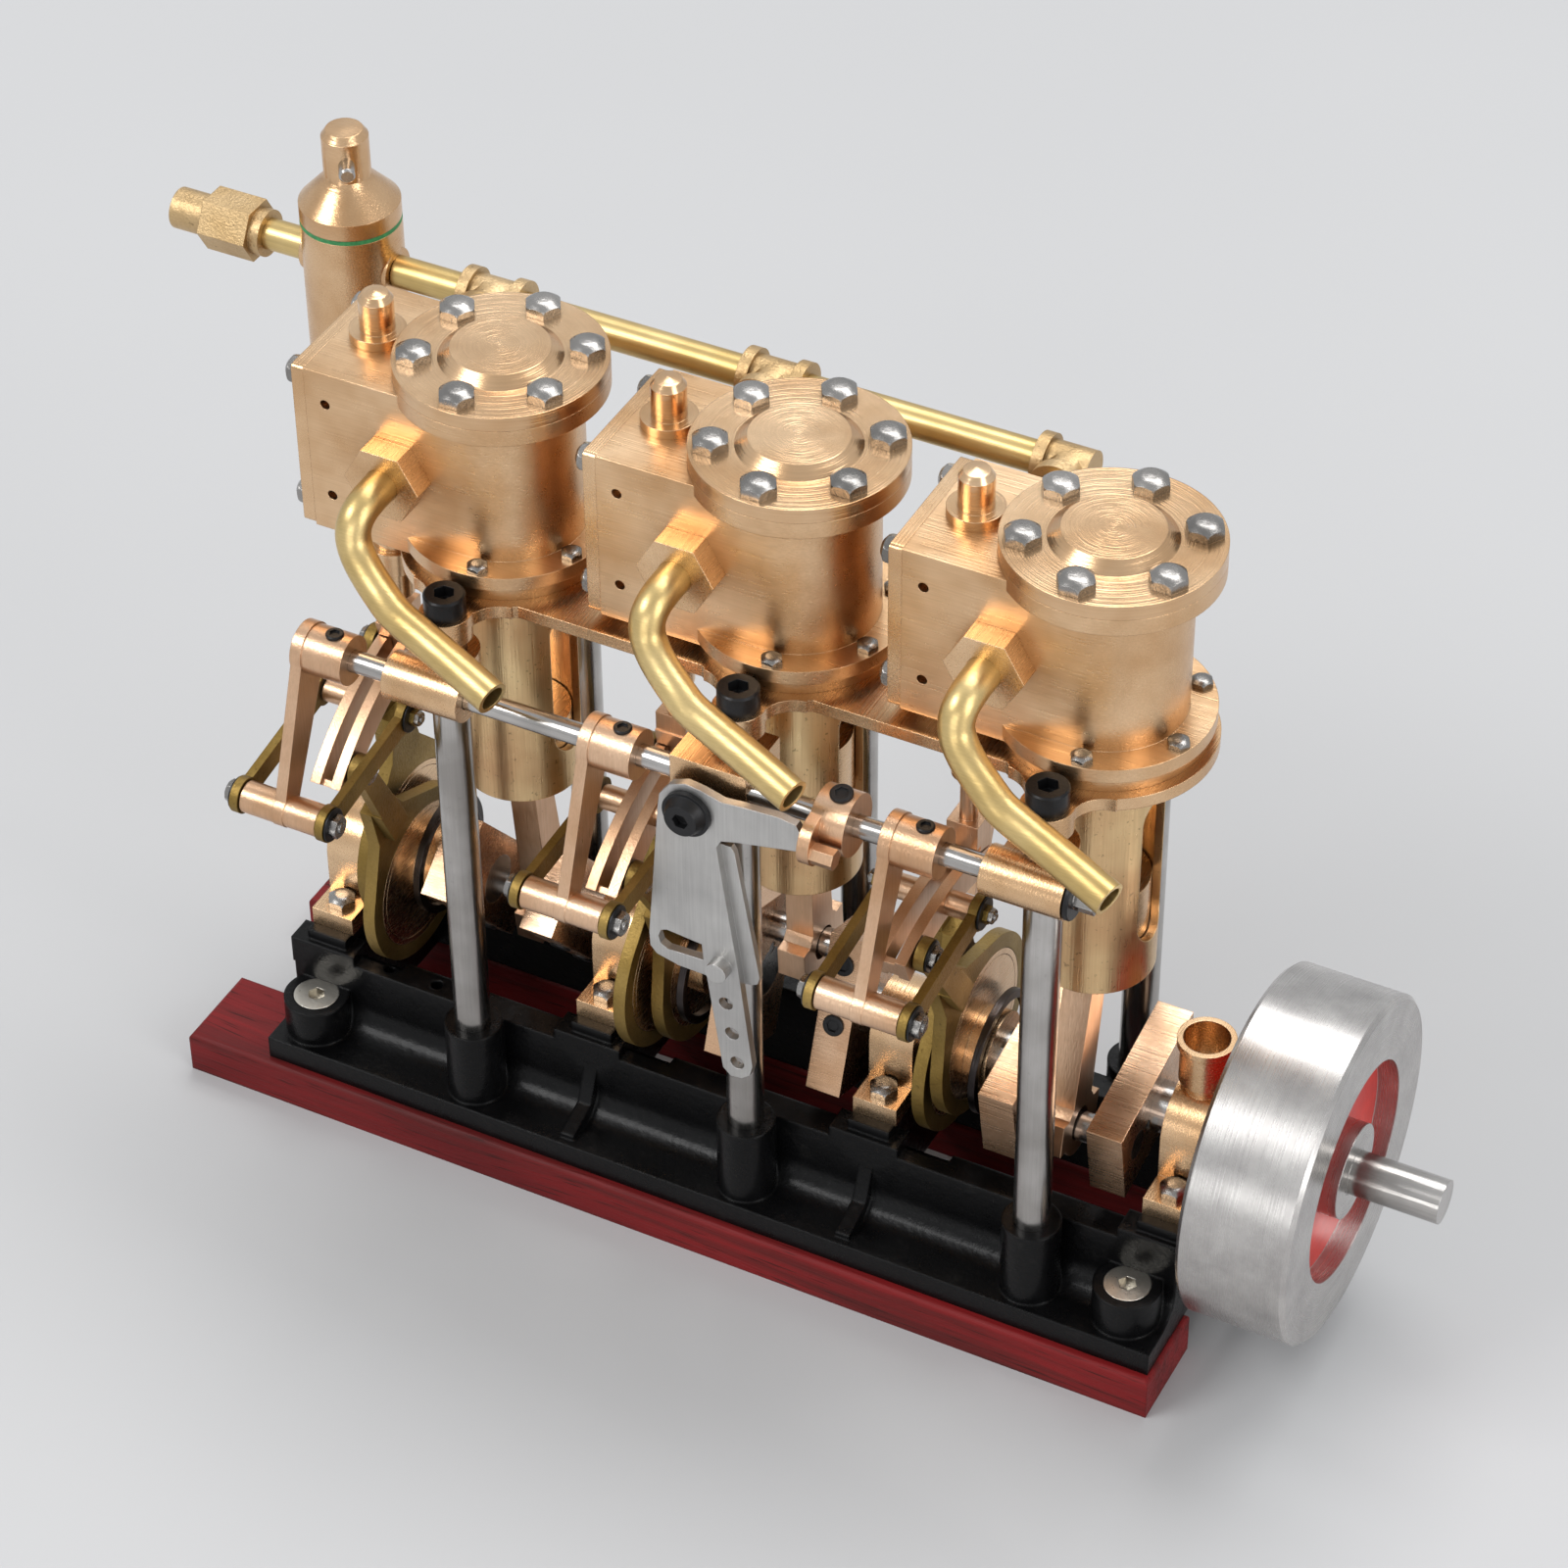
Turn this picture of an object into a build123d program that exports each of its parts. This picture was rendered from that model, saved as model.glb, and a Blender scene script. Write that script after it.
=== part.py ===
"""Three-cylinder vertical marine steam engine with Stephenson reversing gear.

X runs along the crankshaft towards the flywheel, the reversing gear faces -Y and +Z is up.
Everything is drawn about the middle cylinder: x = 0 on its axis, y = 0 on the crankshaft,
z = 0 under the wooden rails.  Each finished piece is then moved by DATUM, which puts the
origin at the middle of the engine's footprint.  All lengths are millimetres.
"""
from build123d import *
import os
from math import asin, cos, degrees, radians, sin, sqrt, hypot, atan2

os.makedirs("parts", exist_ok=True)

# ---- driving dimensions -----------------------------------------------------------
DATUM = (8.95, -1.6, 0.0)    # from the middle cylinder to the middle of the footprint
PITCH = 42.0                 # distance between neighbouring cylinders
CYLINDERS = (-PITCH, 0.0, PITCH)
SHAFT_Z = 32.8               # height of the crankshaft axis
THROW = 7.0                  # crank radius, half the stroke
ROD_LENGTH = 34.0            # connecting rod, centre to centre
BIG_END_PLAY = 0.364         # half the height that the open big end takes up
CRANK_ANGLES = (310.4, 70.4, 190.4)   # from +Y towards +Z, one for each cylinder
ECCENTRICITY = 3.0
VALVE_X = -18.07             # valve spindle, from the cylinder axis
ECC_ROD = 34.5               # eccentric rod, and the radius of the expansion link
LINK_HALF = 9.0              # half the distance between the link's rod pins
LINK_SHIFT = 17.2            # from the middle of the link to the die, in degrees of its arc
WEIGH_Y, WEIGH_Z = -21.5, 84.5        # axis of the reversing shaft
ARM_PIN_Y, ARM_PIN_Z = -30.2, 63.6    # lower pins of the reversing arms

RAIL_X0, RAIL_X1 = -85.7, 61.9
RAIL_Y, RAIL_WIDTH, RAIL_HEIGHT = 16.16, 13.9, 6.6
CAST_X0, CAST_X1 = -73.0, 61.3
BEAM_IN, BEAM_OUT = 9.5, 21.8         # inner and outer edge of each side beam
BEAM_Z, SADDLE_Z, LUG_TOP = 20.8, 24.0, 16.0
BEARINGS = tuple(16.2 + PITCH * k for k in (-2, -1, 0, 1))
BEARING_HALF = 3.2
LUGS = tuple((x, s * 16.2) for x in (-68.0, 55.6) for s in (-1, 1))
COLUMN_Y, COLUMN_R, COLUMN_FOOT, COLUMN_TOP = 16.9, 2.5, 22.3, 89.8
COLUMNS = tuple((x, s * COLUMN_Y) for x in CYLINDERS for s in (-1, 1))
PLATE_Z0, PLATE_Z1 = 91.6, 93.4
FLANGE_R, FLANGE_Z0, FLANGE_Z1 = 13.8, 95.5, 97.5
BARREL_R, BORE_R = 10.3, 7.5
TOP_Z0, HEAD_Z0, HEAD_Z1, DOME_Z = 118.1, 120.4, 122.4, 123.8
CHEST_X, CHEST_Z0, CHEST_Z1 = -23.0, 95.0, 119.6
COVER_THICK = 1.8
STEAM_Z = 107.5              # height of the steam and exhaust unions
UNION_X = -10.4              # exhaust union, from the cylinder axis
MANIFOLD_Y, MANIFOLD_R = 29.0, 2.2
GUIDE_R, GUIDE_BORE, GUIDE_Z0, GUIDE_TOP = 8.0, 6.95, 55.6, 87.0
HEAD_BOLT_R, HEAD_BOLT_ANGLES = 10.9, tuple(30 + 60 * k for k in range(6))
FLANGE_BOLT_R, FLANGE_BOLT_ANGLES = 12.2, tuple(-80 + 60 * k for k in range(6))
JOURNAL_R, PIN_R, KEY_R = 3.5, 2.0, 0.8
WEB_IN, WEB_OUT, WEB_LENGTH, WEB_WIDTH = 5.2, 10.2, 23.0, 12.0
SHEAVE_R, LINER_R, STRAP_R, HUB_R = 9.6, 10.5, 12.8, 5.6
GAP = 0.08                   # running clearance on a radius
AHEAD_X, ASTERN_X = (-20.5, -18.7), (-17.4, -15.6)          # eccentrics, from the cylinder
AHEAD_ROD_X, ASTERN_ROD_X = (-22.1, -20.65), (-15.5, -14.05)
RETAINER_X = (-13.8, -12.8)
BARS = ((-20.37, -18.87), (-17.27, -15.77))                 # bars of each expansion link
DRAG_X = ((-25.3, -24.1), (-12.3, -11.1))
FLYWHEEL_X0, FLYWHEEL_X1, FLYWHEEL_R = 64.6, 79.6, 23.8
SHAFT_END, SHAFT_END_R, WHEEL_SEAT_R = 91.9, 3.0, 3.2
POT_X, POT_R, POT_Z0, POT_Z1, SEAL = -82.1, 6.9, 92.0, 114.0, 0.6
INLET_X = -109.8
ARM_PIN_R = 1.0
PIVOT_X, PIVOT_Z = -2.7, 81.7         # pivot of the reversing lever
PLATE_Y0, PLATE_Y1 = -25.7, -24.5     # lever plate


# ---- geometry helpers ---------------------------------------------------------------
def on_circle(radius, angle):
    """Two coordinates on a circle about the origin."""
    return radius * cos(radians(angle)), radius * sin(radians(angle))


def crank_point(radius, angle):
    """Y and Z of a point about the crankshaft, by angle from +Y towards +Z."""
    y, z = on_circle(radius, angle)
    return y, SHAFT_Z + z


def along_x(x0, x1, y, z, radius, mode=Mode.ADD):
    """Round bar or hole that lies along X."""
    with BuildSketch(Plane.YZ.offset(x0)) as section:
        with Locations((y, z)):
            Circle(radius)
    extrude(section.sketch, amount=x1 - x0, mode=mode)


def along_y(y0, y1, x, z, radius, mode=Mode.ADD):
    """Round bar or hole that lies along Y, from y0 to the larger y1."""
    with BuildSketch(Plane.XZ.offset(-y1)) as section:
        with Locations((x, z)):
            Circle(radius)
    extrude(section.sketch, amount=y1 - y0, mode=mode)


def along_z(z0, z1, x, y, radius, mode=Mode.ADD):
    """Round bar or hole that stands along Z."""
    with BuildSketch(Plane.XY.offset(z0)) as section:
        with Locations((x, y)):
            Circle(radius)
    extrude(section.sketch, amount=z1 - z0, mode=mode)


def block(x0, x1, y0, y1, z0, z1, mode=Mode.ADD):
    """Rectangular block between two corners."""
    with BuildSketch(Plane.XY.offset(z0)) as section:
        with Locations(((x0 + x1) / 2, (y0 + y1) / 2)):
            Rectangle(x1 - x0, y1 - y0)
    extrude(section.sketch, amount=z1 - z0, mode=mode)


def hexagon_z(z0, z1, x, y, flats, mode=Mode.ADD):
    """Hexagon that stands along Z."""
    with BuildSketch(Plane.XY.offset(z0)) as section:
        with Locations((x, y)):
            RegularPolygon(flats / 2, 6, major_radius=False)
    extrude(section.sketch, amount=z1 - z0, mode=mode)


def hexagon_x(x0, x1, y, z, flats, mode=Mode.ADD):
    """Hexagon that lies along X."""
    with BuildSketch(Plane.YZ.offset(x0)) as section:
        with Locations((y, z)):
            RegularPolygon(flats / 2, 6, major_radius=False)
    extrude(section.sketch, amount=x1 - x0, mode=mode)


def hexagon_y(y0, y1, x, z, flats, mode=Mode.ADD):
    """Hexagon that lies along Y, from y0 to the larger y1."""
    with BuildSketch(Plane.XZ.offset(-y1)) as section:
        with Locations((x, z)):
            RegularPolygon(flats / 2, 6, major_radius=False)
    extrude(section.sketch, amount=y1 - y0, mode=mode)


def bar_yz(x0, x1, start, end, width, mode=Mode.ADD):
    """Flat bar in a YZ plane with square ends, from one Y, Z point to another."""
    length = hypot(end[0] - start[0], end[1] - start[1])
    turn = degrees(atan2(end[1] - start[1], end[0] - start[0]))
    with BuildSketch(Plane.YZ.offset(x0)) as section:
        with Locations(((start[0] + end[0]) / 2, (start[1] + end[1]) / 2)):
            Rectangle(length, width, rotation=turn)
    extrude(section.sketch, amount=x1 - x0, mode=mode)


def sector_x(x0, x1, centre, inner, outer, first, last, mode=Mode.ADD):
    """Part of a flat ring in a YZ plane, between two radii and two angles about a centre."""
    with BuildSketch(Plane.YZ.offset(x0)) as section:
        with BuildLine():
            inside = CenterArc(centre, inner, first, last - first)
            outside = CenterArc(centre, outer, first, last - first)
            Line(inside @ 0, outside @ 0)
            Line(inside @ 1, outside @ 1)
        make_face()
    extrude(section.sketch, amount=x1 - x0, mode=mode)


def polygon_y(y0, y1, points, mode=Mode.ADD):
    """Plate with an X, Z outline, from y0 to the larger y1."""
    with BuildSketch(Plane.XZ.offset(-y1)) as section:
        with BuildLine():
            Polyline(*points, close=True)
        make_face()
    extrude(section.sketch, amount=y1 - y0, mode=mode)


def turned_z(x, y, profile, mode=Mode.ADD):
    """Solid of revolution about an upright axis; profile points are radius and height."""
    with BuildSketch(Plane.XZ.offset(-y)) as section:
        with BuildLine():
            Polyline(*[(x + r, z) for r, z in profile], close=True)
        make_face()
    revolve(section.sketch, axis=Axis((x, y, 0), (0, 0, 1)), mode=mode)


def turned_x(y, z, profile, mode=Mode.ADD):
    """Solid of revolution about an axis along X; profile points are x and radius."""
    with BuildSketch(Plane.XZ.offset(-y)) as section:
        with BuildLine():
            Polyline(*[(x, z + r) for x, r in profile], close=True)
        make_face()
    revolve(section.sketch, axis=Axis((0, y, z), (1, 0, 0)), mode=mode)


def finish(builder, name):
    """Move a finished sub-part to the datum, label it and write it."""
    piece = builder.part.moved(Location(DATUM))
    piece.label = name
    export_step(piece, f"parts/{name}.step")


def bolt(flats, height, shank_r, depth):
    """Domed hexagon-headed bolt, seated on the origin and pointing down."""
    with BuildPart() as shape:
        hexagon_z(0, height, 0, 0, flats)
        rim = flats * 0.54
        turned_z(0, 0, ((0, 0), (rim * 1.2, 0), (rim, height * 0.62), (rim * 0.6, height * 0.94), (0, height)),
                 mode=Mode.INTERSECT)
        along_z(-depth, 0.2, 0, 0, shank_r)
    return shape.part


def socket_screw(head_r, height, shank_r, depth, socket):
    """Socket-headed screw, seated on the origin and pointing down."""
    with BuildPart() as shape:
        along_z(0, height, 0, 0, head_r)
        chamfer(shape.edges().filter_by(GeomType.CIRCLE).group_by(Axis.Z)[-1], 0.25)
        hexagon_z(height * 0.45, height, 0, 0, socket, mode=Mode.SUBTRACT)
        along_z(-depth, 0.2, 0, 0, shank_r)
    return shape.part


# ---- motion geometry of each cylinder ---------------------------------------------------
def gear(number):
    """Positions of one cylinder's moving centres, in full ahead gear."""
    crank = CRANK_ANGLES[number]
    ahead = crank_point(ECCENTRICITY, crank + 120)
    astern = crank_point(ECCENTRICITY, crank - 120)
    lean = degrees(asin((ahead[1] - astern[1]) / (2 * LINK_HALF)))
    pin_step = degrees(asin(LINK_HALF / ECC_ROD))
    die_angle = 90 + lean
    near = tuple(a - b for a, b in zip(on_circle(ECC_ROD, die_angle + LINK_SHIFT - pin_step),
                                       on_circle(ECC_ROD, die_angle)))
    die_z = ahead[1] - near[1] + sqrt(ECC_ROD ** 2 - (near[0] - ahead[0]) ** 2)
    centre = tuple(a - b for a, b in zip((0.0, die_z), on_circle(ECC_ROD, die_angle)))

    def on_arc(angle, radius=ECC_ROD):
        y, z = on_circle(radius, angle)
        return centre[0] + y, centre[1] + z

    middle = die_angle + LINK_SHIFT
    return {
        "crank": crank,
        "x": CYLINDERS[number],
        "gudgeon": SHAFT_Z + ROD_LENGTH + THROW * sin(radians(crank)) - BIG_END_PLAY,
        "tilt": degrees(asin(THROW * cos(radians(crank)) / ROD_LENGTH)),
        "ahead": ahead,
        "astern": astern,
        "centre": centre,
        "middle": middle,
        "die": (0.0, die_z),
        "on_arc": on_arc,
        "near_pin": on_arc(middle - pin_step),
        "far_pin": on_arc(middle + pin_step),
        "hanger": on_arc(middle),
    }


GEARS = tuple(gear(number) for number in range(3))

head_bolt = bolt(4.4, 2.0, 1.0, 4.0)
cover_bolt = bolt(3.4, 1.8, 0.8, 4.0)
foot_bolt = bolt(3.6, 1.6, 0.8, 6.0)
small_bolt = bolt(2.6, 1.1, 0.6, 3.0)
m3_screw = socket_screw(2.75, 3.0, 1.5, 9.0, 2.5)

# ---- wooden rails -----------------------------------------------------------------------
with BuildPart() as wooden_rails:
    for side in (-1, 1):
        block(RAIL_X0, RAIL_X1, side * RAIL_Y - RAIL_WIDTH / 2, side * RAIL_Y + RAIL_WIDTH / 2, 0, RAIL_HEIGHT)
    fillet(wooden_rails.edges().group_by(Axis.Z)[-1], 0.9)
    for x, y in LUGS:
        along_z(3.0, RAIL_HEIGHT, x, y, 1.4, mode=Mode.SUBTRACT)
finish(wooden_rails, "wooden_rails")

# ---- bedplate ---------------------------------------------------------------------------
with BuildPart() as base_casting:
    for side in (-1, 1):
        with BuildSketch(Plane.YZ.offset(CAST_X0)):
            with BuildLine():
                Polyline(
                    (side * 17.6, 10.2), (side * BEAM_OUT, 10.2), (side * BEAM_OUT, RAIL_HEIGHT),
                    (side * BEAM_IN, RAIL_HEIGHT), (side * BEAM_IN, BEAM_Z), (side * 13.5, BEAM_Z),
                    (side * 13.5, 14.3),
                )
                ThreePointArc((side * 13.5, 14.3), (side * 14.7, 11.4), (side * 17.6, 10.2))
            make_face()
        extrude(amount=CAST_X1 - CAST_X0)
    block(CAST_X0, CAST_X0 + 9.0, -BEAM_IN, BEAM_IN, RAIL_HEIGHT, SADDLE_Z - 3)
    block(CAST_X1 - 6.8, CAST_X1, -BEAM_IN, BEAM_IN, RAIL_HEIGHT, SADDLE_Z - 3)
    for x in BEARINGS:
        block(x - BEARING_HALF, x + BEARING_HALF - 0.3, -12.6, 12.6, SADDLE_Z - 5, SADDLE_Z)
    for x in BEARINGS[1:3]:
        block(x - 1.2, x + 1.2, -BEAM_IN, BEAM_IN, RAIL_HEIGHT, SADDLE_Z - 2)
    for x, y in COLUMNS:
        along_z(RAIL_HEIGHT, COLUMN_FOOT, x, y, 4.0)
        block(x - 2.6, x + 2.6, min(y, y * 0.72), max(y, y * 0.72), RAIL_HEIGHT, BEAM_Z)
    for x, y in LUGS:
        along_z(RAIL_HEIGHT, LUG_TOP, x, y, 4.6)
        block(x - 3.4, x + 3.4, min(y, y * 0.72), max(y, y * 0.72), RAIL_HEIGHT, LUG_TOP - 1.5)
    for x in BEARINGS[1:3]:
        for side in (-1, 1):
            with BuildSketch(Plane.YZ.offset(x - 1.0)):
                with BuildLine():
                    Polyline((side * 12, 10), (side * 12, 17.6), (side * 13.5, 17.6), (side * 15.6, 12.6),
                             (side * 20.6, 10.9), (side * 20.6, 10.0), close=True)
                make_face()
            extrude(amount=2.0)
    for x in BEARINGS:
        for side in (-1, 1):
            block(x - 5.5, x + 4.6, side * 11.5 - 2.0, side * 11.5 + 2.0, SADDLE_Z - 6, SADDLE_Z - 1.6)
    for x in CYLINDERS:
        along_x(x - 21.3, x - 14.8, 0, SHAFT_Z, 16.4, mode=Mode.SUBTRACT)
    for x in BEARINGS:
        along_x(x - 8, x + 8, 0, SHAFT_Z, 6.5, mode=Mode.SUBTRACT)
        for side in (-1, 1):
            along_z(SADDLE_Z - 4.6, SADDLE_Z, x, side * 8.2, 0.8, mode=Mode.SUBTRACT)
    for x, y in COLUMNS:
        along_z(COLUMN_FOOT - 8, COLUMN_FOOT, x, y, 1.5, mode=Mode.SUBTRACT)
    for x, y in LUGS:
        along_z(RAIL_HEIGHT, LUG_TOP, x, y, 1.4, mode=Mode.SUBTRACT)
        turned_z(x, y, ((0, LUG_TOP - 1.8), (1.4, LUG_TOP - 1.8), (3.2, LUG_TOP), (0, LUG_TOP)), mode=Mode.SUBTRACT)
    for x in (-58.5, -51.0):
        along_z(BEAM_Z - 4, BEAM_Z, x, -11.5, 0.9, mode=Mode.SUBTRACT)
finish(base_casting, "base_casting")

with BuildPart() as base_screws:
    for x, y in LUGS:
        turned_z(x, y, ((0, 3.0), (1.4, 4.4), (1.4, LUG_TOP - 1.8), (3.2, LUG_TOP), (0, LUG_TOP)))
    for x, y in LUGS:
        hexagon_z(LUG_TOP - 1.6, LUG_TOP, x, y, 2.2, mode=Mode.SUBTRACT)
finish(base_screws, "base_screws")

# ---- frame ------------------------------------------------------------------------------
with BuildPart() as columns:
    for x, y in COLUMNS:
        along_z(COLUMN_FOOT, COLUMN_TOP, x, y, COLUMN_R)
        along_z(COLUMN_FOOT - 7.5, COLUMN_FOOT, x, y, 1.5)
    for x, y in COLUMNS:
        along_z(COLUMN_TOP - 6, COLUMN_TOP, x, y, 1.5, mode=Mode.SUBTRACT)
finish(columns, "columns")

with BuildPart() as entablature_plate:
    with BuildSketch(Plane.XY.offset(PLATE_Z0)):
        Rectangle(2 * PITCH, 24)
        with Locations(*[(x, 0) for x in CYLINDERS]):
            Circle(14.3)
        for x, y in COLUMNS:
            with Locations((x, y * 0.82)):
                Rectangle(14.4, 6.1)
        for x, y in COLUMNS:
            with Locations((x - 7.6, y), (x + 7.6, y)):
                Circle(4.3, mode=Mode.SUBTRACT)
    extrude(amount=PLATE_Z1 - PLATE_Z0)
    for x, y in COLUMNS:
        along_z(COLUMN_TOP, PLATE_Z1, x, y, 3.4)
    for x in CYLINDERS:
        with BuildSketch(Plane.XY.offset(PLATE_Z0)):
            with Locations((x + VALVE_X, 0)):
                RectangleRounded(9.4, 15.0, 2.0)
            with Locations((x, 0)):
                Circle(3.2)
        extrude(amount=PLATE_Z1 - PLATE_Z0, mode=Mode.SUBTRACT)
    for x, y in COLUMNS:
        along_z(COLUMN_TOP, PLATE_Z1, x, y, 1.5, mode=Mode.SUBTRACT)
finish(entablature_plate, "entablature_plate")

with BuildPart() as socket_screws:
    with Locations(*[(x, y, PLATE_Z1) for x, y in COLUMNS]):
        add(m3_screw)
    along_y(-23.2, -19.5, PIVOT_X, PIVOT_Z, 1.2)
    along_y(PLATE_Y0 - 0.05, -23.2, PIVOT_X, PIVOT_Z, 1.7)
    along_y(PLATE_Y0 - 0.75, PLATE_Y0 - 0.05, PIVOT_X, PIVOT_Z, 3.3)
    with BuildSketch(Plane.XZ.offset(0.75 - PLATE_Y0)):
        with Locations((PIVOT_X, PIVOT_Z)):
            Circle(2.9)
    extrude(amount=1.4, taper=25)
    hexagon_y(PLATE_Y0 - 2.2, PLATE_Y0 - 1.1, PIVOT_X, PIVOT_Z, 2.0, mode=Mode.SUBTRACT)
finish(socket_screws, "socket_screws")

with BuildPart() as trunk_guides:
    for x in CYLINDERS:
        along_z(GUIDE_Z0, PLATE_Z0, x, 0, GUIDE_R)
        along_z(PLATE_Z0, PLATE_Z1, x, 0, 3.2)
    for x in CYLINDERS:
        along_z(GUIDE_Z0, GUIDE_TOP, x, 0, GUIDE_BORE, mode=Mode.SUBTRACT)
        along_z(GUIDE_TOP, PLATE_Z1, x, 0, 1.6, mode=Mode.SUBTRACT)
        for z in (65.0, 82.0):
            along_x(x - 9, x + 9, 0, z, 3.5, mode=Mode.SUBTRACT)
        block(x - 9, x + 9, -3.5, 3.5, 65.0, 82.0, mode=Mode.SUBTRACT)
finish(trunk_guides, "trunk_guides")

# ---- cylinders --------------------------------------------------------------------------
with BuildPart() as cylinder_blocks:
    for x in CYLINDERS:
        along_z(PLATE_Z1, FLANGE_Z0, x, 0, 12.9)
        along_z(FLANGE_Z0, FLANGE_Z1, x, 0, FLANGE_R)
        along_z(FLANGE_Z1, TOP_Z0, x, 0, BARREL_R)
        along_z(TOP_Z0, HEAD_Z0, x, 0, FLANGE_R)
        block(x + CHEST_X, x, -BARREL_R, BARREL_R, CHEST_Z0, CHEST_Z1)
    for x in CYLINDERS:
        along_z(FLANGE_Z1, HEAD_Z0, x, 0, BORE_R, mode=Mode.SUBTRACT)
        along_z(PLATE_Z1, FLANGE_Z1, x, 0, 1.6, mode=Mode.SUBTRACT)
        block(x + CHEST_X, x - 11.8, -6.0, 6.0, 100.0, 115.0, mode=Mode.SUBTRACT)
        along_z(CHEST_Z0, CHEST_Z1, x + VALVE_X, 0, 1.3, mode=Mode.SUBTRACT)
        along_y(-BARREL_R, -5.5, x + UNION_X - 2.5, STEAM_Z, 1.6, mode=Mode.SUBTRACT)
        along_y(5.5, BARREL_R, x + VALVE_X, STEAM_Z, 1.6, mode=Mode.SUBTRACT)
        for z in (100.6, 114.8):
            along_y(-BARREL_R, -BARREL_R + 2.5, x - 20.1, z, 0.7, mode=Mode.SUBTRACT)
        for y in (-8.0, 8.0):
            for z in (98.3, 117.3):
                along_x(x + CHEST_X, x + CHEST_X + 2.2, y, z, 0.8, mode=Mode.SUBTRACT)
        for angle in HEAD_BOLT_ANGLES:
            px, py = on_circle(HEAD_BOLT_R, angle)
            along_z(HEAD_Z1 - 4, HEAD_Z0, x + px, py, 1.0, mode=Mode.SUBTRACT)
        for angle in FLANGE_BOLT_ANGLES[:4]:
            px, py = on_circle(FLANGE_BOLT_R, angle)
            along_z(PLATE_Z1 + 1.1, FLANGE_Z1, x + px, py, 0.6, mode=Mode.SUBTRACT)
finish(cylinder_blocks, "cylinder_blocks")

with BuildPart() as cylinder_heads:
    for x in CYLINDERS:
        turned_z(x, 0, ((0, HEAD_Z0), (FLANGE_R, HEAD_Z0), (FLANGE_R, HEAD_Z1), (8.0, HEAD_Z1), (6.4, DOME_Z), (0, DOME_Z)))
    for x in CYLINDERS:
        for angle in HEAD_BOLT_ANGLES:
            px, py = on_circle(HEAD_BOLT_R, angle)
            along_z(HEAD_Z0, HEAD_Z1, x + px, py, 1.0, mode=Mode.SUBTRACT)
finish(cylinder_heads, "cylinder_heads")

with BuildPart() as chest_covers:
    for x in CYLINDERS:
        block(x + CHEST_X - COVER_THICK, x + CHEST_X, -BARREL_R, BARREL_R, CHEST_Z0, CHEST_Z1)
    fillet(chest_covers.edges().filter_by(Axis.X), 0.8)
    for x in CYLINDERS:
        for y in (-8.0, 8.0):
            for z in (98.3, 117.3):
                along_x(x + CHEST_X - COVER_THICK, x + CHEST_X, y, z, 0.8, mode=Mode.SUBTRACT)
finish(chest_covers, "chest_covers")

with BuildPart() as valve_caps:
    for x in CYLINDERS:
        turned_z(x + VALVE_X, 0, (
            (0, CHEST_Z1), (3.7, CHEST_Z1), (3.7, CHEST_Z1 + 1.4), (2.3, CHEST_Z1 + 1.4),
            (2.3, 125.4), (1.7, 126.3), (0, 126.6),
        ))
    for x in CYLINDERS:
        along_z(CHEST_Z1, 125.2, x + VALVE_X, 0, 1.3, mode=Mode.SUBTRACT)
finish(valve_caps, "valve_caps")

with BuildPart() as gland_nuts:
    for x in CYLINDERS:
        turned_z(x + VALVE_X, 0, (
            (1.3, 79.0), (2.4, 79.0), (2.4, 83.5), (3.4, 83.5), (3.4, 87.0),
            (2.7, 87.0), (2.7, 91.5), (3.5, 91.5), (3.5, CHEST_Z0), (1.3, CHEST_Z0),
        ))
finish(gland_nuts, "gland_nuts")

with BuildPart() as hex_bolts:
    for x in CYLINDERS:
        with Locations(*[(x + on_circle(HEAD_BOLT_R, a)[0], on_circle(HEAD_BOLT_R, a)[1], HEAD_Z1)
                         for a in HEAD_BOLT_ANGLES]):
            add(head_bolt)
        with Locations(*[(x + on_circle(FLANGE_BOLT_R, a)[0], on_circle(FLANGE_BOLT_R, a)[1], FLANGE_Z1)
                         for a in FLANGE_BOLT_ANGLES[:4]]):
            add(small_bolt)
        with Locations(*[Location((x + CHEST_X - COVER_THICK, y, z), (0, -90, 0))
                         for y in (-8.0, 8.0) for z in (98.3, 117.3)]):
            add(cover_bolt)
    with Locations(*[(x, s * 8.2, SADDLE_Z + 2.8) for x in BEARINGS for s in (-1, 1)]):
        add(foot_bolt)
finish(hex_bolts, "hex_bolts")

# ---- main bearings ----------------------------------------------------------------------
with BuildPart() as bearing_blocks:
    for x in BEARINGS:
        with BuildSketch(Plane.YZ.offset(x - BEARING_HALF)):
            with Locations((0, SADDLE_Z + 1.4)):
                Rectangle(22.0, 2.8)
            with Locations((0, (SADDLE_Z + SHAFT_Z) / 2)):
                Rectangle(12.4, SHAFT_Z - SADDLE_Z)
            with Locations((0, SHAFT_Z)):
                Circle(6.2)
        extrude(amount=2 * BEARING_HALF)
    along_z(SHAFT_Z + 5, 40.5, BEARINGS[3], 0, 2.4)
    for x in BEARINGS:
        along_x(x - 4, x + 4, 0, SHAFT_Z, JOURNAL_R + GAP, mode=Mode.SUBTRACT)
        for side in (-1, 1):
            along_z(SADDLE_Z - 1, SADDLE_Z + 3, x, side * 8.2, 0.8, mode=Mode.SUBTRACT)
    turned_z(BEARINGS[3], 0, (
        (0, 40.5), (3.4, 40.5), (3.4, 46.4), (3.9, 46.4), (3.9, 47.4), (3.1, 47.4), (3.1, 42.0), (0, 42.0),
    ))
finish(bearing_blocks, "bearing_blocks")

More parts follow.
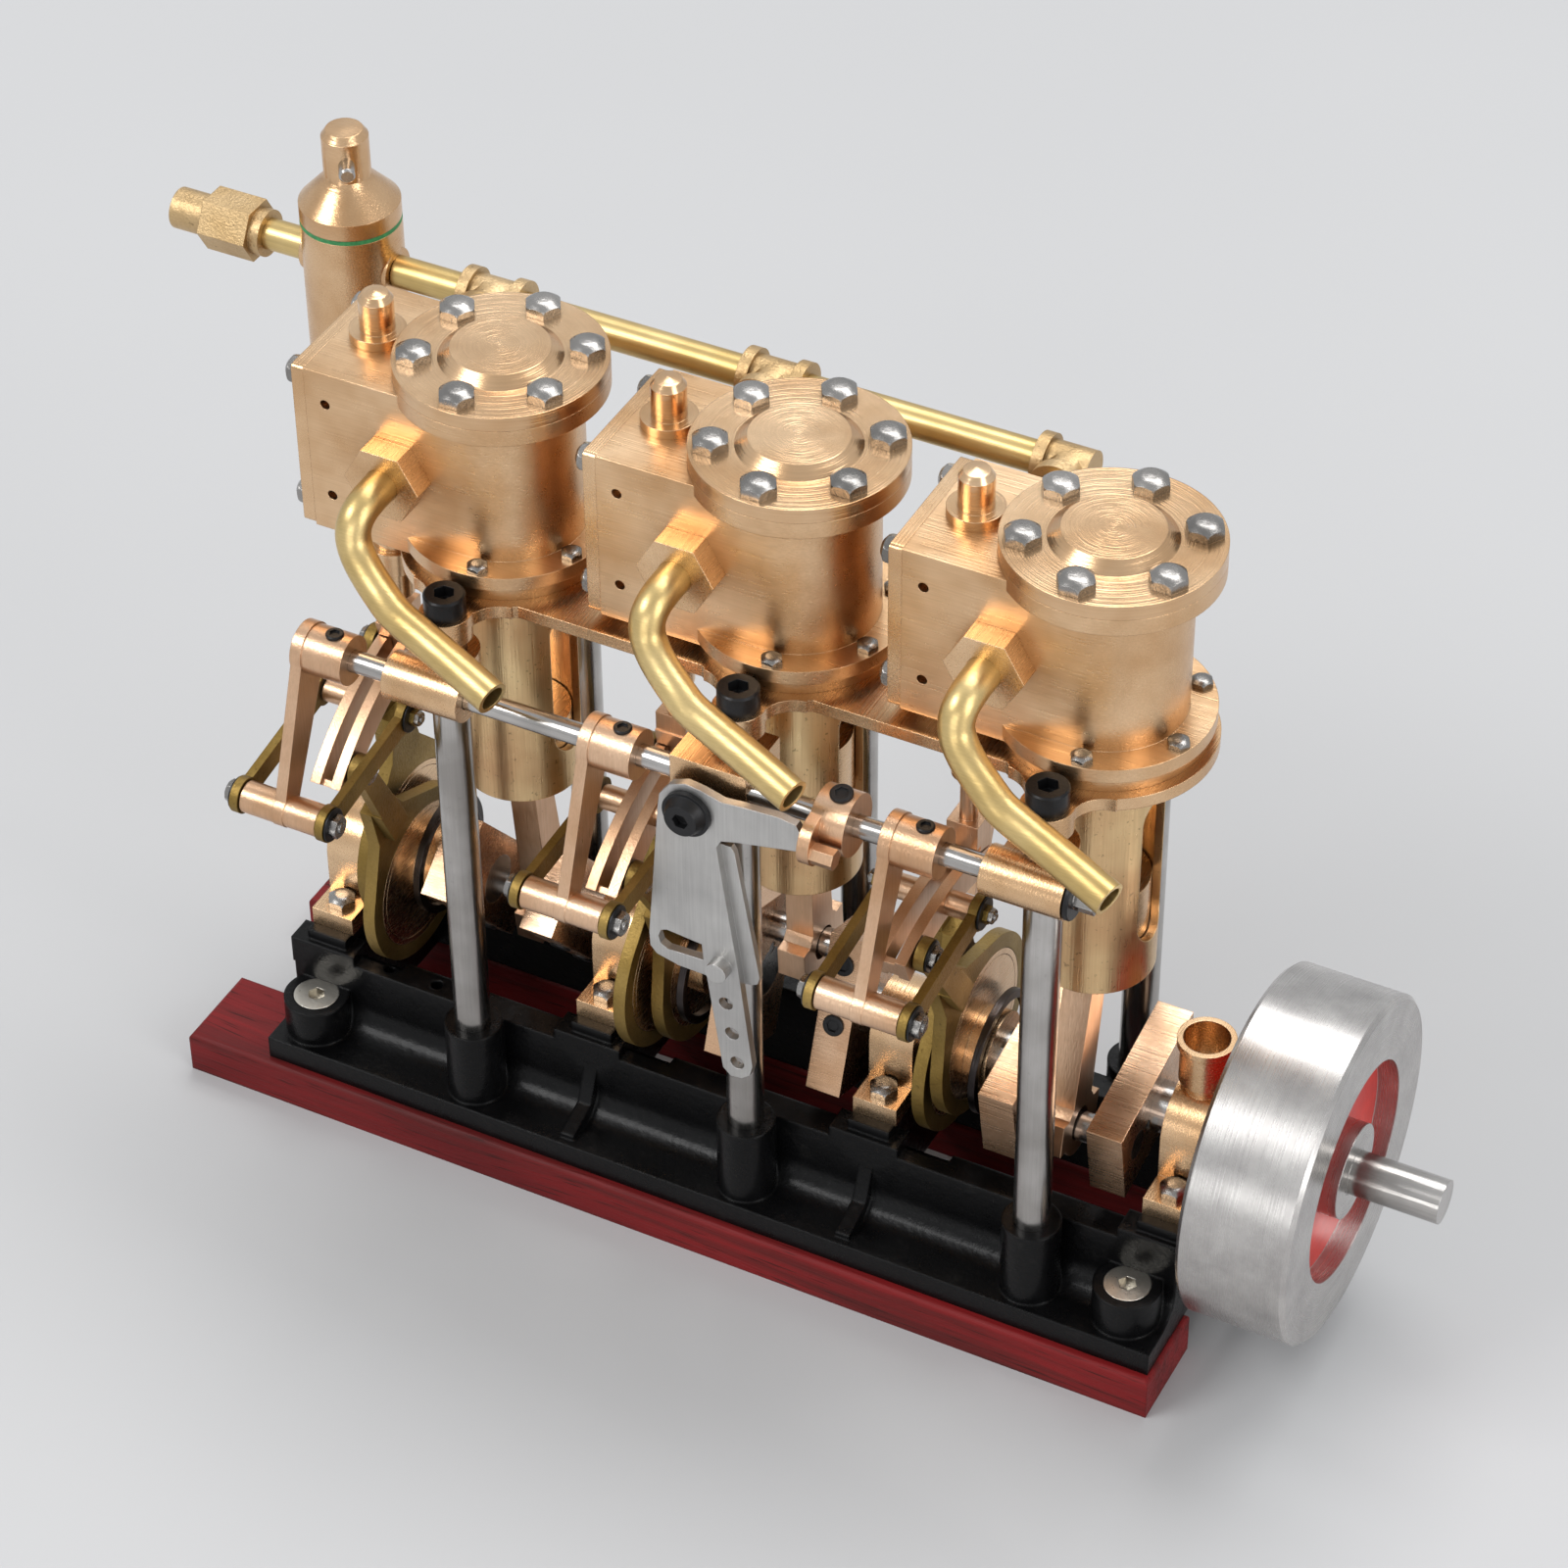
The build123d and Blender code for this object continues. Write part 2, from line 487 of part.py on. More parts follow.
# ---- exhaust ----------------------------------------------------------------------------
with BuildPart() as exhaust_unions:
    for x in CYLINDERS:
        hexagon_y(-BARREL_R - 3.4, -BARREL_R, x + UNION_X, STEAM_Z, 9.4)
    for x in CYLINDERS:
        along_y(-BARREL_R - 5, -BARREL_R, x + UNION_X, STEAM_Z, 2.3, mode=Mode.SUBTRACT)
finish(exhaust_unions, "exhaust_unions")

with BuildPart() as exhaust_pipes:
    for x in CYLINDERS:
        with BuildLine() as route:
            Line((x + UNION_X, -BARREL_R, STEAM_Z), (x + UNION_X, -15.2, STEAM_Z))
            Spline(
                (x + UNION_X, -15.2, STEAM_Z), (x - 10.6, -20.4, 103.2), (x - 5.2, -23.2, 98.4),
                (x + 8.5, -26.7, 93.3),
                tangents=((0, -1, 0), (4.7, -1.3, -1.3)),
            )
            Line((x + 8.5, -26.7, 93.3), (x + 13.2, -28.0, 92.0))
        with BuildSketch(Plane((x + UNION_X, -BARREL_R, STEAM_Z), x_dir=(1, 0, 0), z_dir=(0, -1, 0))):
            Circle(2.3)
            Circle(1.7, mode=Mode.SUBTRACT)
        sweep(path=route.wire())
finish(exhaust_pipes, "exhaust_pipes")

# ---- steam main and lubricator ------------------------------------------------------------
TEES = tuple(x + VALVE_X for x in CYLINDERS)

with BuildPart() as steam_manifold:
    for x0, x1 in ((POT_X + POT_R, TEES[0] - 4.5), (TEES[0] + 4.5, TEES[1] - 4.5), (TEES[1] + 4.5, TEES[2] - 4.5)):
        along_x(x0, x1, MANIFOLD_Y, STEAM_Z, MANIFOLD_R)
        along_x(x0, x1, MANIFOLD_Y, STEAM_Z, 1.5, mode=Mode.SUBTRACT)
    for x in TEES:
        along_y(BARREL_R, MANIFOLD_Y - 5.5, x, STEAM_Z, MANIFOLD_R)
        along_y(BARREL_R, MANIFOLD_Y - 5.5, x, STEAM_Z, 1.5, mode=Mode.SUBTRACT)
    along_x(-95.4, POT_X - POT_R, MANIFOLD_Y, STEAM_Z, MANIFOLD_R)
    along_x(-95.4, POT_X - POT_R, MANIFOLD_Y, STEAM_Z, 1.5, mode=Mode.SUBTRACT)
finish(steam_manifold, "steam_manifold")

with BuildPart() as manifold_fittings:
    for x in TEES:
        right = x + 4.5 if x < TEES[2] else x + 2.9
        along_x(x - 4.5, right, MANIFOLD_Y, STEAM_Z, 3.0)
        along_y(MANIFOLD_Y - 5.5, MANIFOLD_Y, x, STEAM_Z, 3.0)
        along_x(x - 4.5, x - 2.9, MANIFOLD_Y, STEAM_Z, 3.7)
        along_y(MANIFOLD_Y - 5.5, MANIFOLD_Y - 3.9, x, STEAM_Z, 3.7)
        if x < TEES[2]:
            along_x(x + 2.9, x + 4.5, MANIFOLD_Y, STEAM_Z, 3.7)
            along_x(x, x + 4.5, MANIFOLD_Y, STEAM_Z, 1.5, mode=Mode.SUBTRACT)
        along_x(x - 4.5, x, MANIFOLD_Y, STEAM_Z, 1.5, mode=Mode.SUBTRACT)
        along_y(MANIFOLD_Y - 5.5, MANIFOLD_Y, x, STEAM_Z, 1.5, mode=Mode.SUBTRACT)
    hexagon_x(-104.4, -97.0, MANIFOLD_Y, STEAM_Z, 7.6)
    along_x(INLET_X, -104.4, MANIFOLD_Y, STEAM_Z, 2.9)
    along_x(-97.0, -95.4, MANIFOLD_Y, STEAM_Z, 3.3)
    along_x(INLET_X, -95.4, MANIFOLD_Y, STEAM_Z, 1.5, mode=Mode.SUBTRACT)
    along_x(INLET_X, INLET_X + 5.0, MANIFOLD_Y, STEAM_Z, 2.2, mode=Mode.SUBTRACT)
finish(manifold_fittings, "manifold_fittings")

with BuildPart() as lubricator_pot:
    turned_z(POT_X, MANIFOLD_Y, (
        (0, POT_Z0), (5.6, POT_Z0), (POT_R, POT_Z0 + 1.4), (POT_R, POT_Z1), (5.2, POT_Z1), (5.2, POT_Z0 + 3), (0, POT_Z0 + 3),
    ))
    for side in (-1, 1):
        along_x(POT_X + side * 5.9 - 0.9, POT_X + side * 5.9 + 0.9, MANIFOLD_Y, STEAM_Z, 3.2)
    along_x(POT_X - POT_R, POT_X + POT_R, MANIFOLD_Y, STEAM_Z, 1.5, mode=Mode.SUBTRACT)
finish(lubricator_pot, "lubricator_pot")

with BuildPart() as lubricator_seal:
    along_z(POT_Z1, POT_Z1 + SEAL, POT_X, MANIFOLD_Y, POT_R)
    along_z(POT_Z1, POT_Z1 + SEAL, POT_X, MANIFOLD_Y, 5.4, mode=Mode.SUBTRACT)
finish(lubricator_seal, "lubricator_seal")

with BuildPart() as lubricator_cap:
    turned_z(POT_X, MANIFOLD_Y, (
        (0, POT_Z1 - 5), (5.0, POT_Z1 - 5), (5.0, POT_Z1 + SEAL + 0.05), (POT_R, POT_Z1 + SEAL + 0.05),
        (POT_R, 117.0), (3.7, 120.4), (3.2, 121.2), (3.2, 127.0), (2.5, 128.0), (0, 128.2),
    ))
    with BuildSketch(Plane(origin=(POT_X, MANIFOLD_Y, 124.0), z_dir=(-0.54, 0.84, 0))) as bar:
        Circle(0.9)
    extrude(bar.sketch, amount=5.4, both=True)
finish(lubricator_cap, "lubricator_cap")

# ---- crankshaft -------------------------------------------------------------------------
with BuildPart() as crankshaft:
    starts = (BEARINGS[0] - 4.4,) + tuple(x + WEB_IN for x in CYLINDERS)
    ends = tuple(x - WEB_IN for x in CYLINDERS) + (FLYWHEEL_X0,)
    for x0, x1 in zip(starts, ends):
        along_x(x0, x1, 0, SHAFT_Z, JOURNAL_R)
    along_x(FLYWHEEL_X0, FLYWHEEL_X1, 0, SHAFT_Z, WHEEL_SEAT_R)
    along_x(FLYWHEEL_X1, SHAFT_END, 0, SHAFT_Z, SHAFT_END_R)
    for g in GEARS:
        y, z = crank_point(THROW, g["crank"])
        along_x(g["x"] - WEB_OUT, g["x"] + WEB_OUT, y, z, PIN_R)
        y, z = crank_point(THROW / 2, g["crank"])
        for side in (-1, 1):
            mid = g["x"] + side * (WEB_IN + WEB_OUT) / 2
            along_x(mid - 2.6, mid + 2.6, y, z, KEY_R + GAP, mode=Mode.SUBTRACT)
finish(crankshaft, "crankshaft")

with BuildPart() as crank_webs:
    for g in GEARS:
        for x0 in (g["x"] - WEB_OUT, g["x"] + WEB_IN):
            end = crank_point(WEB_LENGTH / 2, g["crank"])
            start = crank_point(WEB_LENGTH / 2, g["crank"] + 180)
            bar_yz(x0, x0 + WEB_OUT - WEB_IN, start, end, WEB_WIDTH)
            along_x(x0, x0 + WEB_OUT - WEB_IN, 0, SHAFT_Z, JOURNAL_R, mode=Mode.SUBTRACT)
            y, z = crank_point(THROW, g["crank"])
            along_x(x0, x0 + WEB_OUT - WEB_IN, y, z, PIN_R, mode=Mode.SUBTRACT)
            y, z = crank_point(THROW / 2, g["crank"])
            along_x(x0 - 0.1, x0 + WEB_OUT - WEB_IN + 0.1, y, z, KEY_R + GAP, mode=Mode.SUBTRACT)
finish(crank_webs, "crank_webs")

with BuildPart() as eccentric_sheaves:
    for g in GEARS:
        for (x0, x1), (y, z), hub in ((AHEAD_X, g["ahead"], ASTERN_X[0]), (ASTERN_X, g["astern"], RETAINER_X[1] + 0.5)):
            along_x(g["x"] + x0, g["x"] + x1, y, z, SHEAVE_R)
            along_x(g["x"] + x1, g["x"] + hub - 0.05, 0, SHAFT_Z, HUB_R)
        along_x(g["x"] - 21, g["x"] - 11, 0, SHAFT_Z, JOURNAL_R, mode=Mode.SUBTRACT)
finish(eccentric_sheaves, "eccentric_sheaves")

with BuildPart() as flywheel:
    turned_x(0, SHAFT_Z, (
        (FLYWHEEL_X0, WHEEL_SEAT_R), (FLYWHEEL_X0, 15.15), (FLYWHEEL_X0 + 3.5, 15.15), (FLYWHEEL_X0 + 3.5, 17.0),
        (FLYWHEEL_X0, 17.0), (FLYWHEEL_X0, FLYWHEEL_R - 0.6), (FLYWHEEL_X0 + 0.6, FLYWHEEL_R),
        (FLYWHEEL_X1 - 0.6, FLYWHEEL_R), (FLYWHEEL_X1, FLYWHEEL_R - 0.6), (FLYWHEEL_X1, 15.15),
        (FLYWHEEL_X1 - 3.0, 15.15), (FLYWHEEL_X1 - 3.0, 6.5), (FLYWHEEL_X1, 6.5), (FLYWHEEL_X1, WHEEL_SEAT_R),
    ))
finish(flywheel, "flywheel")

# ---- running gear of each cylinder --------------------------------------------------------
for number, g in enumerate(GEARS, start=1):
    cx, gz = g["x"], g["gudgeon"]
    with BuildPart() as crank_key:
        y, z = crank_point(THROW / 2, g["crank"])
        for side in (-1, 1):
            mid = cx + side * (WEB_IN + WEB_OUT) / 2
            along_x(mid - 2.4, mid + 2.4, y, z, KEY_R)
    finish(crank_key, f"crank_key_{number}")

    with BuildPart() as crosshead:
        along_z(gz - 4.5, gz + 4.5, cx, 0, 6.8)
        block(cx - 2.2, cx + 2.2, -7, 7, gz - 5, gz + 3.6, mode=Mode.SUBTRACT)
        along_z(gz + 3, gz + 5, cx, 0, 1.5 + GAP, mode=Mode.SUBTRACT)
        along_x(cx - 6.3, cx + 6.3, 0, gz, 1.3)
    finish(crosshead, f"crosshead_{number}")

    with BuildPart() as piston:
        rest = gz + 42.36
        along_z(gz + 3.7, rest, cx, 0, 1.5)
        along_z(rest - 2.5, rest + 2.5, cx, 0, BORE_R - GAP)
        along_z(rest + 2.5, rest + 3.3, cx, 0, 2.0)
    finish(piston, f"piston_{number}")

    screw_axis = Plane((cx, 0, gz)) * Rotation(0, 0, g["crank"]) * Rotation(degrees(asin(THROW / ROD_LENGTH)) / 2, 0, 0)
    with BuildPart(Plane(screw_axis)) as small_end_screw:
        with BuildSketch(Plane(screw_axis).offset(1.65)):
            Circle(0.6)
        extrude(amount=1.2)
    finish(small_end_screw, f"small_end_screw_{number}")

    shank = Plane(Location((cx, 0, gz), (g["tilt"], 0, 0)))
    with BuildPart() as connecting_rod:
        with BuildSketch(Plane(shank.origin, x_dir=shank.y_dir, z_dir=shank.x_dir).offset(-2.0)):
            Circle(3.3)
            with Locations((0, -ROD_LENGTH)):
                Circle(4.5)
                Rectangle(11.4, 4.6)
            with BuildLine():
                Polyline((-1.9, 0), (1.9, 0), (2.9, -ROD_LENGTH + 2), (-2.9, -ROD_LENGTH + 2), close=True)
            make_face()
        extrude(amount=4.0)
        with BuildSketch(Plane(shank.origin, x_dir=shank.y_dir, z_dir=shank.x_dir).offset(-2.5)):
            Circle(1.3 + GAP)
            with Locations((0, -ROD_LENGTH)):
                Circle(PIN_R + 0.45)
        extrude(amount=5.0, mode=Mode.SUBTRACT)
        with BuildSketch(shank.offset(1.0)):
            Circle(1.15)
        extrude(amount=3.0, mode=Mode.SUBTRACT)
    finish(connecting_rod, f"connecting_rod_{number}")

    with BuildPart() as sheave_retainer:
        y, z = crank_point(ECCENTRICITY / 2, g["crank"] + 120)
        along_x(cx + RETAINER_X[0], cx + RETAINER_X[1], y, z, 8.8)
        along_x(cx + RETAINER_X[0], cx + RETAINER_X[1], y, z, 7.6, mode=Mode.SUBTRACT)
    finish(sheave_retainer, f"sheave_retainer_{number}")

    vx, die_z = cx + VALVE_X, g["die"][1]
    with BuildPart() as valve_rod:
        along_z(die_z + 7.0, 121.0 + ECCENTRICITY * sin(radians(g["crank"] + 120)), vx, 0, 1.2)
        block(vx - 2.2, vx + 2.2, -2.0, 2.0, die_z + 3.6, die_z + 7.2)
        die_turn = g["middle"] - LINK_SHIFT
        sector_x(vx - 2.2, vx + 2.2, g["centre"], ECC_ROD + 2.25, ECC_ROD + 4.6, die_turn - 2.8, die_turn + 2.8)
        sector_x(vx - 2.2, vx + 2.2, g["centre"], ECC_ROD - 4.2, ECC_ROD - 2.25, die_turn - 2.4, die_turn + 2.4)
        sector_x(vx - 0.7, vx + 0.7, g["centre"], ECC_ROD - 3.0, ECC_ROD + 3.0, die_turn - 1.7, die_turn + 1.7)
    finish(valve_rod, f"valve_rod_{number}")

    # The astern rod of cylinder 1 crosses its hanger at half a turn, so that side has no boss.
    with BuildPart() as expansion_link:
        for x0, x1 in BARS:
            sector_x(cx + x0, cx + x1, g["centre"], ECC_ROD - 2, ECC_ROD + 2, g["middle"] - 20.7, g["middle"] + 20.7)
        for side in (-1, 1):
            first = g["middle"] + side * 20.0
            sector_x(cx + BARS[0][1], cx + BARS[1][0], g["centre"], ECC_ROD - 1.4, ECC_ROD + 1.4, first - 0.7, first + 0.7)
        along_x(cx + DRAG_X[0][1] + 0.3, cx + BARS[0][1], *g["hanger"], 1.7)
        if number > 1:
            along_x(cx + BARS[1][0], cx + DRAG_X[1][0] - 0.3, *g["hanger"], 1.7)
    finish(expansion_link, f"expansion_link_{number}")

# ---- eccentric straps, in pairs that stand at the same angle ------------------------------
for letter, ahead_gear, astern_gear in (("a", GEARS[0], GEARS[2]), ("b", GEARS[1], GEARS[0]), ("c", GEARS[2], GEARS[1])):
    sets = (
        (ahead_gear["x"], AHEAD_X, AHEAD_ROD_X, ahead_gear["ahead"], ahead_gear["near_pin"]),
        (astern_gear["x"], ASTERN_X, ASTERN_ROD_X, astern_gear["astern"], astern_gear["far_pin"]),
    )
    with BuildPart() as strap_liners:
        for cx, (x0, x1), rod, (y, z), pin in sets:
            along_x(cx + x0, cx + x1, y, z, LINER_R)
            along_x(cx + x0, cx + x1, y, z, SHEAVE_R + GAP, mode=Mode.SUBTRACT)
    finish(strap_liners, f"strap_liners_{letter}")

    with BuildPart() as eccentric_straps:
        for cx, (x0, x1), (r0, r1), (y, z), (py, pz) in sets:
            turn = degrees(atan2(pz - z, py - y))
            reach = hypot(py - y, pz - z)
            with BuildSketch(Plane.YZ.offset(cx + x0)) as strap:
                with Locations(Location((y, z), turn)):
                    Polygon((9, -9.1), (15.5, -3.6), (22, -2.1), (22, 2.1), (15.5, 3.6), (9, 9.1), align=None)
                    Circle(STRAP_R)
            extrude(strap.sketch, amount=x1 - x0)
            with BuildSketch(Plane.YZ.offset(cx + min(r0, x0))) as foot:
                with Locations(Location((y, z), turn)):
                    with Locations((18.5, 0)):
                        Rectangle(7.0, 4.0)
            extrude(foot.sketch, amount=max(r1, x1) - min(r0, x0))
            with BuildSketch(Plane.YZ.offset(cx + r0)) as rod:
                with Locations(Location((y, z), turn)):
                    Polygon((16, -2.0), (reach, -1.5), (reach, 1.5), (16, 2.0), align=None)
                    with Locations((reach, 0)):
                        Circle(2.3)
            extrude(rod.sketch, amount=r1 - r0)
            along_x(cx + x0, cx + x1, y, z, LINER_R + GAP, mode=Mode.SUBTRACT)
    finish(eccentric_straps, f"eccentric_straps_{letter}")

# ---- reversing shaft --------------------------------------------------------------------
with BuildPart() as shaft_brackets:
    for x in (CYLINDERS[0], CYLINDERS[2]):
        along_x(x - 5.5, x + 5.5, WEIGH_Y, WEIGH_Z, 3.3)
        block(x - 4.2, x + 4.2, WEIGH_Y, -COLUMN_Y, WEIGH_Z - 3.0, WEIGH_Z + 3.0)
        along_z(WEIGH_Z - 3.0, WEIGH_Z + 3.0, x, -COLUMN_Y, 4.2)
    block(-6.5, 4.2, -23.2, -14.0, 77.2, 87.7)
    for x in CYLINDERS:
        along_z(70, 89, x, -COLUMN_Y, COLUMN_R, mode=Mode.SUBTRACT)
    along_x(-50, 50, WEIGH_Y, WEIGH_Z, 1.5 + GAP, mode=Mode.SUBTRACT)
    along_y(-23.2, -19.5, PIVOT_X, PIVOT_Z, 1.2, mode=Mode.SUBTRACT)
finish(shaft_brackets, "shaft_brackets")

with BuildPart() as weighshaft:
    along_x(-61.5, 48.4, WEIGH_Y, WEIGH_Z, 1.5)
    hexagon_x(48.4, 51.0, WEIGH_Y, WEIGH_Z, 2.8)
finish(weighshaft, "weighshaft")

with BuildPart() as reversing_arms:
    arm_turn = degrees(atan2(ARM_PIN_Z - WEIGH_Z, ARM_PIN_Y - WEIGH_Y))
    arm_reach = hypot(ARM_PIN_Z - WEIGH_Z, ARM_PIN_Y - WEIGH_Y)
    for x in CYLINDERS:
        with BuildSketch(Plane.YZ.offset(x - 18.9)) as blade:
            with Locations(Location((WEIGH_Y, WEIGH_Z), arm_turn)):
                Polygon((0, -3.0), (arm_reach, -1.7), (arm_reach, 1.7), (0, 3.0), align=None)
                Circle(3.6)
                with Locations((arm_reach, 0)):
                    Circle(2.3)
        extrude(blade.sketch, amount=1.6)
        along_x(x - 18.9, x - 11.5, WEIGH_Y, WEIGH_Z, 3.4)
        along_x(x + DRAG_X[0][1] + 0.2, x + DRAG_X[1][0] - 0.2, ARM_PIN_Y, ARM_PIN_Z, 2.2)
        along_x(x + DRAG_X[0][0] - 0.8, x + DRAG_X[1][1] + 0.7, ARM_PIN_Y, ARM_PIN_Z, ARM_PIN_R)
    along_x(13.9, 18.7, WEIGH_Y, WEIGH_Z, 4.2)
    bar_yz(13.9, 15.5, (WEIGH_Y, WEIGH_Z), (-25.4, 83.8), 6.6)
    along_x(13.9, 15.5, -25.4, 83.8, 3.3)
    hexagon_x(15.5, 18.6, -27.2, 83.2, 2.4)
    for x in CYLINDERS:
        along_x(x - 19.5, x - 11, WEIGH_Y, WEIGH_Z, 1.5, mode=Mode.SUBTRACT)
    along_x(13.5, 19.0, WEIGH_Y, WEIGH_Z, 1.5, mode=Mode.SUBTRACT)
finish(reversing_arms, "reversing_arms")

with BuildPart() as drag_links:
    for g in GEARS:
        hy, hz = g["hanger"]
        for x0, x1 in DRAG_X:
            bar_yz(g["x"] + x0, g["x"] + x1, (ARM_PIN_Y, ARM_PIN_Z), (hy, hz), 3.0)
            along_x(g["x"] + x0, g["x"] + x1, ARM_PIN_Y, ARM_PIN_Z, 2.5)
            along_x(g["x"] + x0, g["x"] + x1, hy, hz, 2.5)
            along_x(g["x"] + x0, g["x"] + x1, ARM_PIN_Y, ARM_PIN_Z, ARM_PIN_R + GAP, mode=Mode.SUBTRACT)
        hexagon_x(g["x"] + DRAG_X[1][1], g["x"] + DRAG_X[1][1] + 1.0, hy, hz, 2.2)
        hexagon_x(g["x"] + DRAG_X[0][0] - 1.0, g["x"] + DRAG_X[0][0], hy, hz, 2.2)
finish(drag_links, "drag_links")

with BuildPart() as reversing_lever:
    polygon_y(PLATE_Y0, PLATE_Y1, (
        (-7.0, 81.1), (-6.7, 83.2), (-5.2, 85.2), (-3.0, 86.1), (-0.8, 85.8), (2.1, 85.0), (5.0, 85.3), (9.9, 85.6),
        (12.4, 85.2), (13.3, 83.6), (13.2, 81.6), (12.6, 81.1), (3.9, 79.2), (1.9, 78.6), (1.2, 77.3), (2.5, 67.8),
        (4.0, 57.2), (5.8, 41.6), (5.4, 39.9), (4.2, 38.9), (2.6, 38.7), (1.5, 39.8), (-0.6, 55.0), (-4.6, 55.1),
        (-7.8, 55.9), (-8.7, 57.0), (-8.8, 59.2), (-7.9, 70.0),
    ))
    polygon_y(PLATE_Y0, PLATE_Y1, (
        (-7.5, 59.0), (-7.1, 60.2), (-6.2, 60.6), (-1.2, 60.1), (-1.0, 57.5), (-6.2, 57.3), (-7.2, 57.9),
    ), mode=Mode.SUBTRACT)
    polygon_y(PLATE_Y1, PLATE_Y1 + 0.9, (
        (-0.6, 76.6), (0.0, 77.0), (2.6, 77.0), (3.1, 76.2), (6.4, 56.4), (6.1, 55.2), (5.4, 54.8), (4.0, 54.6), (1.2, 60.0),
    ))
    for x, z in ((2.1, 51.2), (2.9, 46.3), (3.6, 41.4)):
        along_y(PLATE_Y0, PLATE_Y1, x, z, 1.0, mode=Mode.SUBTRACT)
    along_y(PLATE_Y0 - 1.8, PLATE_Y0, 1.6, 57.6, 1.5)
    along_y(PLATE_Y0, PLATE_Y1, PIVOT_X, PIVOT_Z, 1.7 + GAP, mode=Mode.SUBTRACT)
finish(reversing_lever, "reversing_lever")
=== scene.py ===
"""Looks for the three-cylinder marine steam engine: camera, studio, materials and small detail pieces."""
import math
import bmesh
import bpy
from mathutils import Matrix, Vector


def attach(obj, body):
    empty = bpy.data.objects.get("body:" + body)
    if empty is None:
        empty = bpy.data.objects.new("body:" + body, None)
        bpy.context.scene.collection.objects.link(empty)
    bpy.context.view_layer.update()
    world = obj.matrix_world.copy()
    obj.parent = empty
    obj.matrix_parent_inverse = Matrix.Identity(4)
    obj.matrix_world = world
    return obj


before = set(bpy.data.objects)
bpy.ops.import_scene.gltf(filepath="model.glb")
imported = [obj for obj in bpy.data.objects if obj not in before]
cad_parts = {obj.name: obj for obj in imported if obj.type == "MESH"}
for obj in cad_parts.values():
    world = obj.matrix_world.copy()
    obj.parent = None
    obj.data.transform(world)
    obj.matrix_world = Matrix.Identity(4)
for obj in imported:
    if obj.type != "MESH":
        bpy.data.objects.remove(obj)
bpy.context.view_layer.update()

MM = 0.001
DX, DY = 8.95, -1.6
SHAFT_Z = 32.8
PITCH = 42.0
CYLINDERS = (-PITCH, 0.0, PITCH)
CRANKS = (310.4, 70.4, 190.4)
VALVE_X = -18.07
METAL_EDGE = 0.16            # radius of the softened edges of metal pieces
RECESS_IN, RECESS_OUT = 6.53, 15.12   # painted recess of the flywheel, radii
ECCENTRICITY = 3.0
ECC_ROD = 34.5               # eccentric rod, and the radius of the expansion link
LINK_HALF = 9.0              # half the distance between the link's rod pins
LINK_SHIFT = 17.2            # from the middle of the link to the die, in degrees of its arc
WEIGH_Y, WEIGH_Z = -21.5, 84.5        # reversing shaft
ARM_PIN = (-30.2, 63.6)               # lower pins of the reversing arms
DRAG_LEFT, DRAG_RIGHT = -25.3, -11.1  # outer faces of the drag links
AHEAD_FACE, ASTERN_FACE = -22.1, -14.05   # outer faces of the eccentric rods


def at(x, y, z):
    """A point given in millimetres about the middle cylinder, in the row frame in metres."""
    return Vector(((x + DX) * MM, (y + DY) * MM, z * MM))


# ---- camera -----------------------------------------------------------------------------
cam_data = bpy.data.cameras.new("camera")
cam = bpy.data.objects.new("camera", cam_data)
bpy.context.scene.collection.objects.link(cam)
bpy.context.scene.camera = cam
AZ, EL, ROLL, DIST = math.radians(27.5045), math.radians(40.2032), math.radians(-0.5525), 609.287
back = Vector((math.sin(AZ) * math.cos(EL), -math.cos(AZ) * math.cos(EL), math.sin(EL)))
aim = at(-2.572, 0.0, 66.864)
cam.location = aim + back * DIST * MM
look = back.to_track_quat("Z", "Y").to_matrix()
cam.matrix_world = Matrix.Translation(cam.location) @ (look @ Matrix.Rotation(ROLL, 3, "Z")).to_4x4()
cam_data.sensor_width = 36.0
cam_data.lens = 107.613
cam_data.clip_start = 0.01
cam_data.clip_end = 20.0


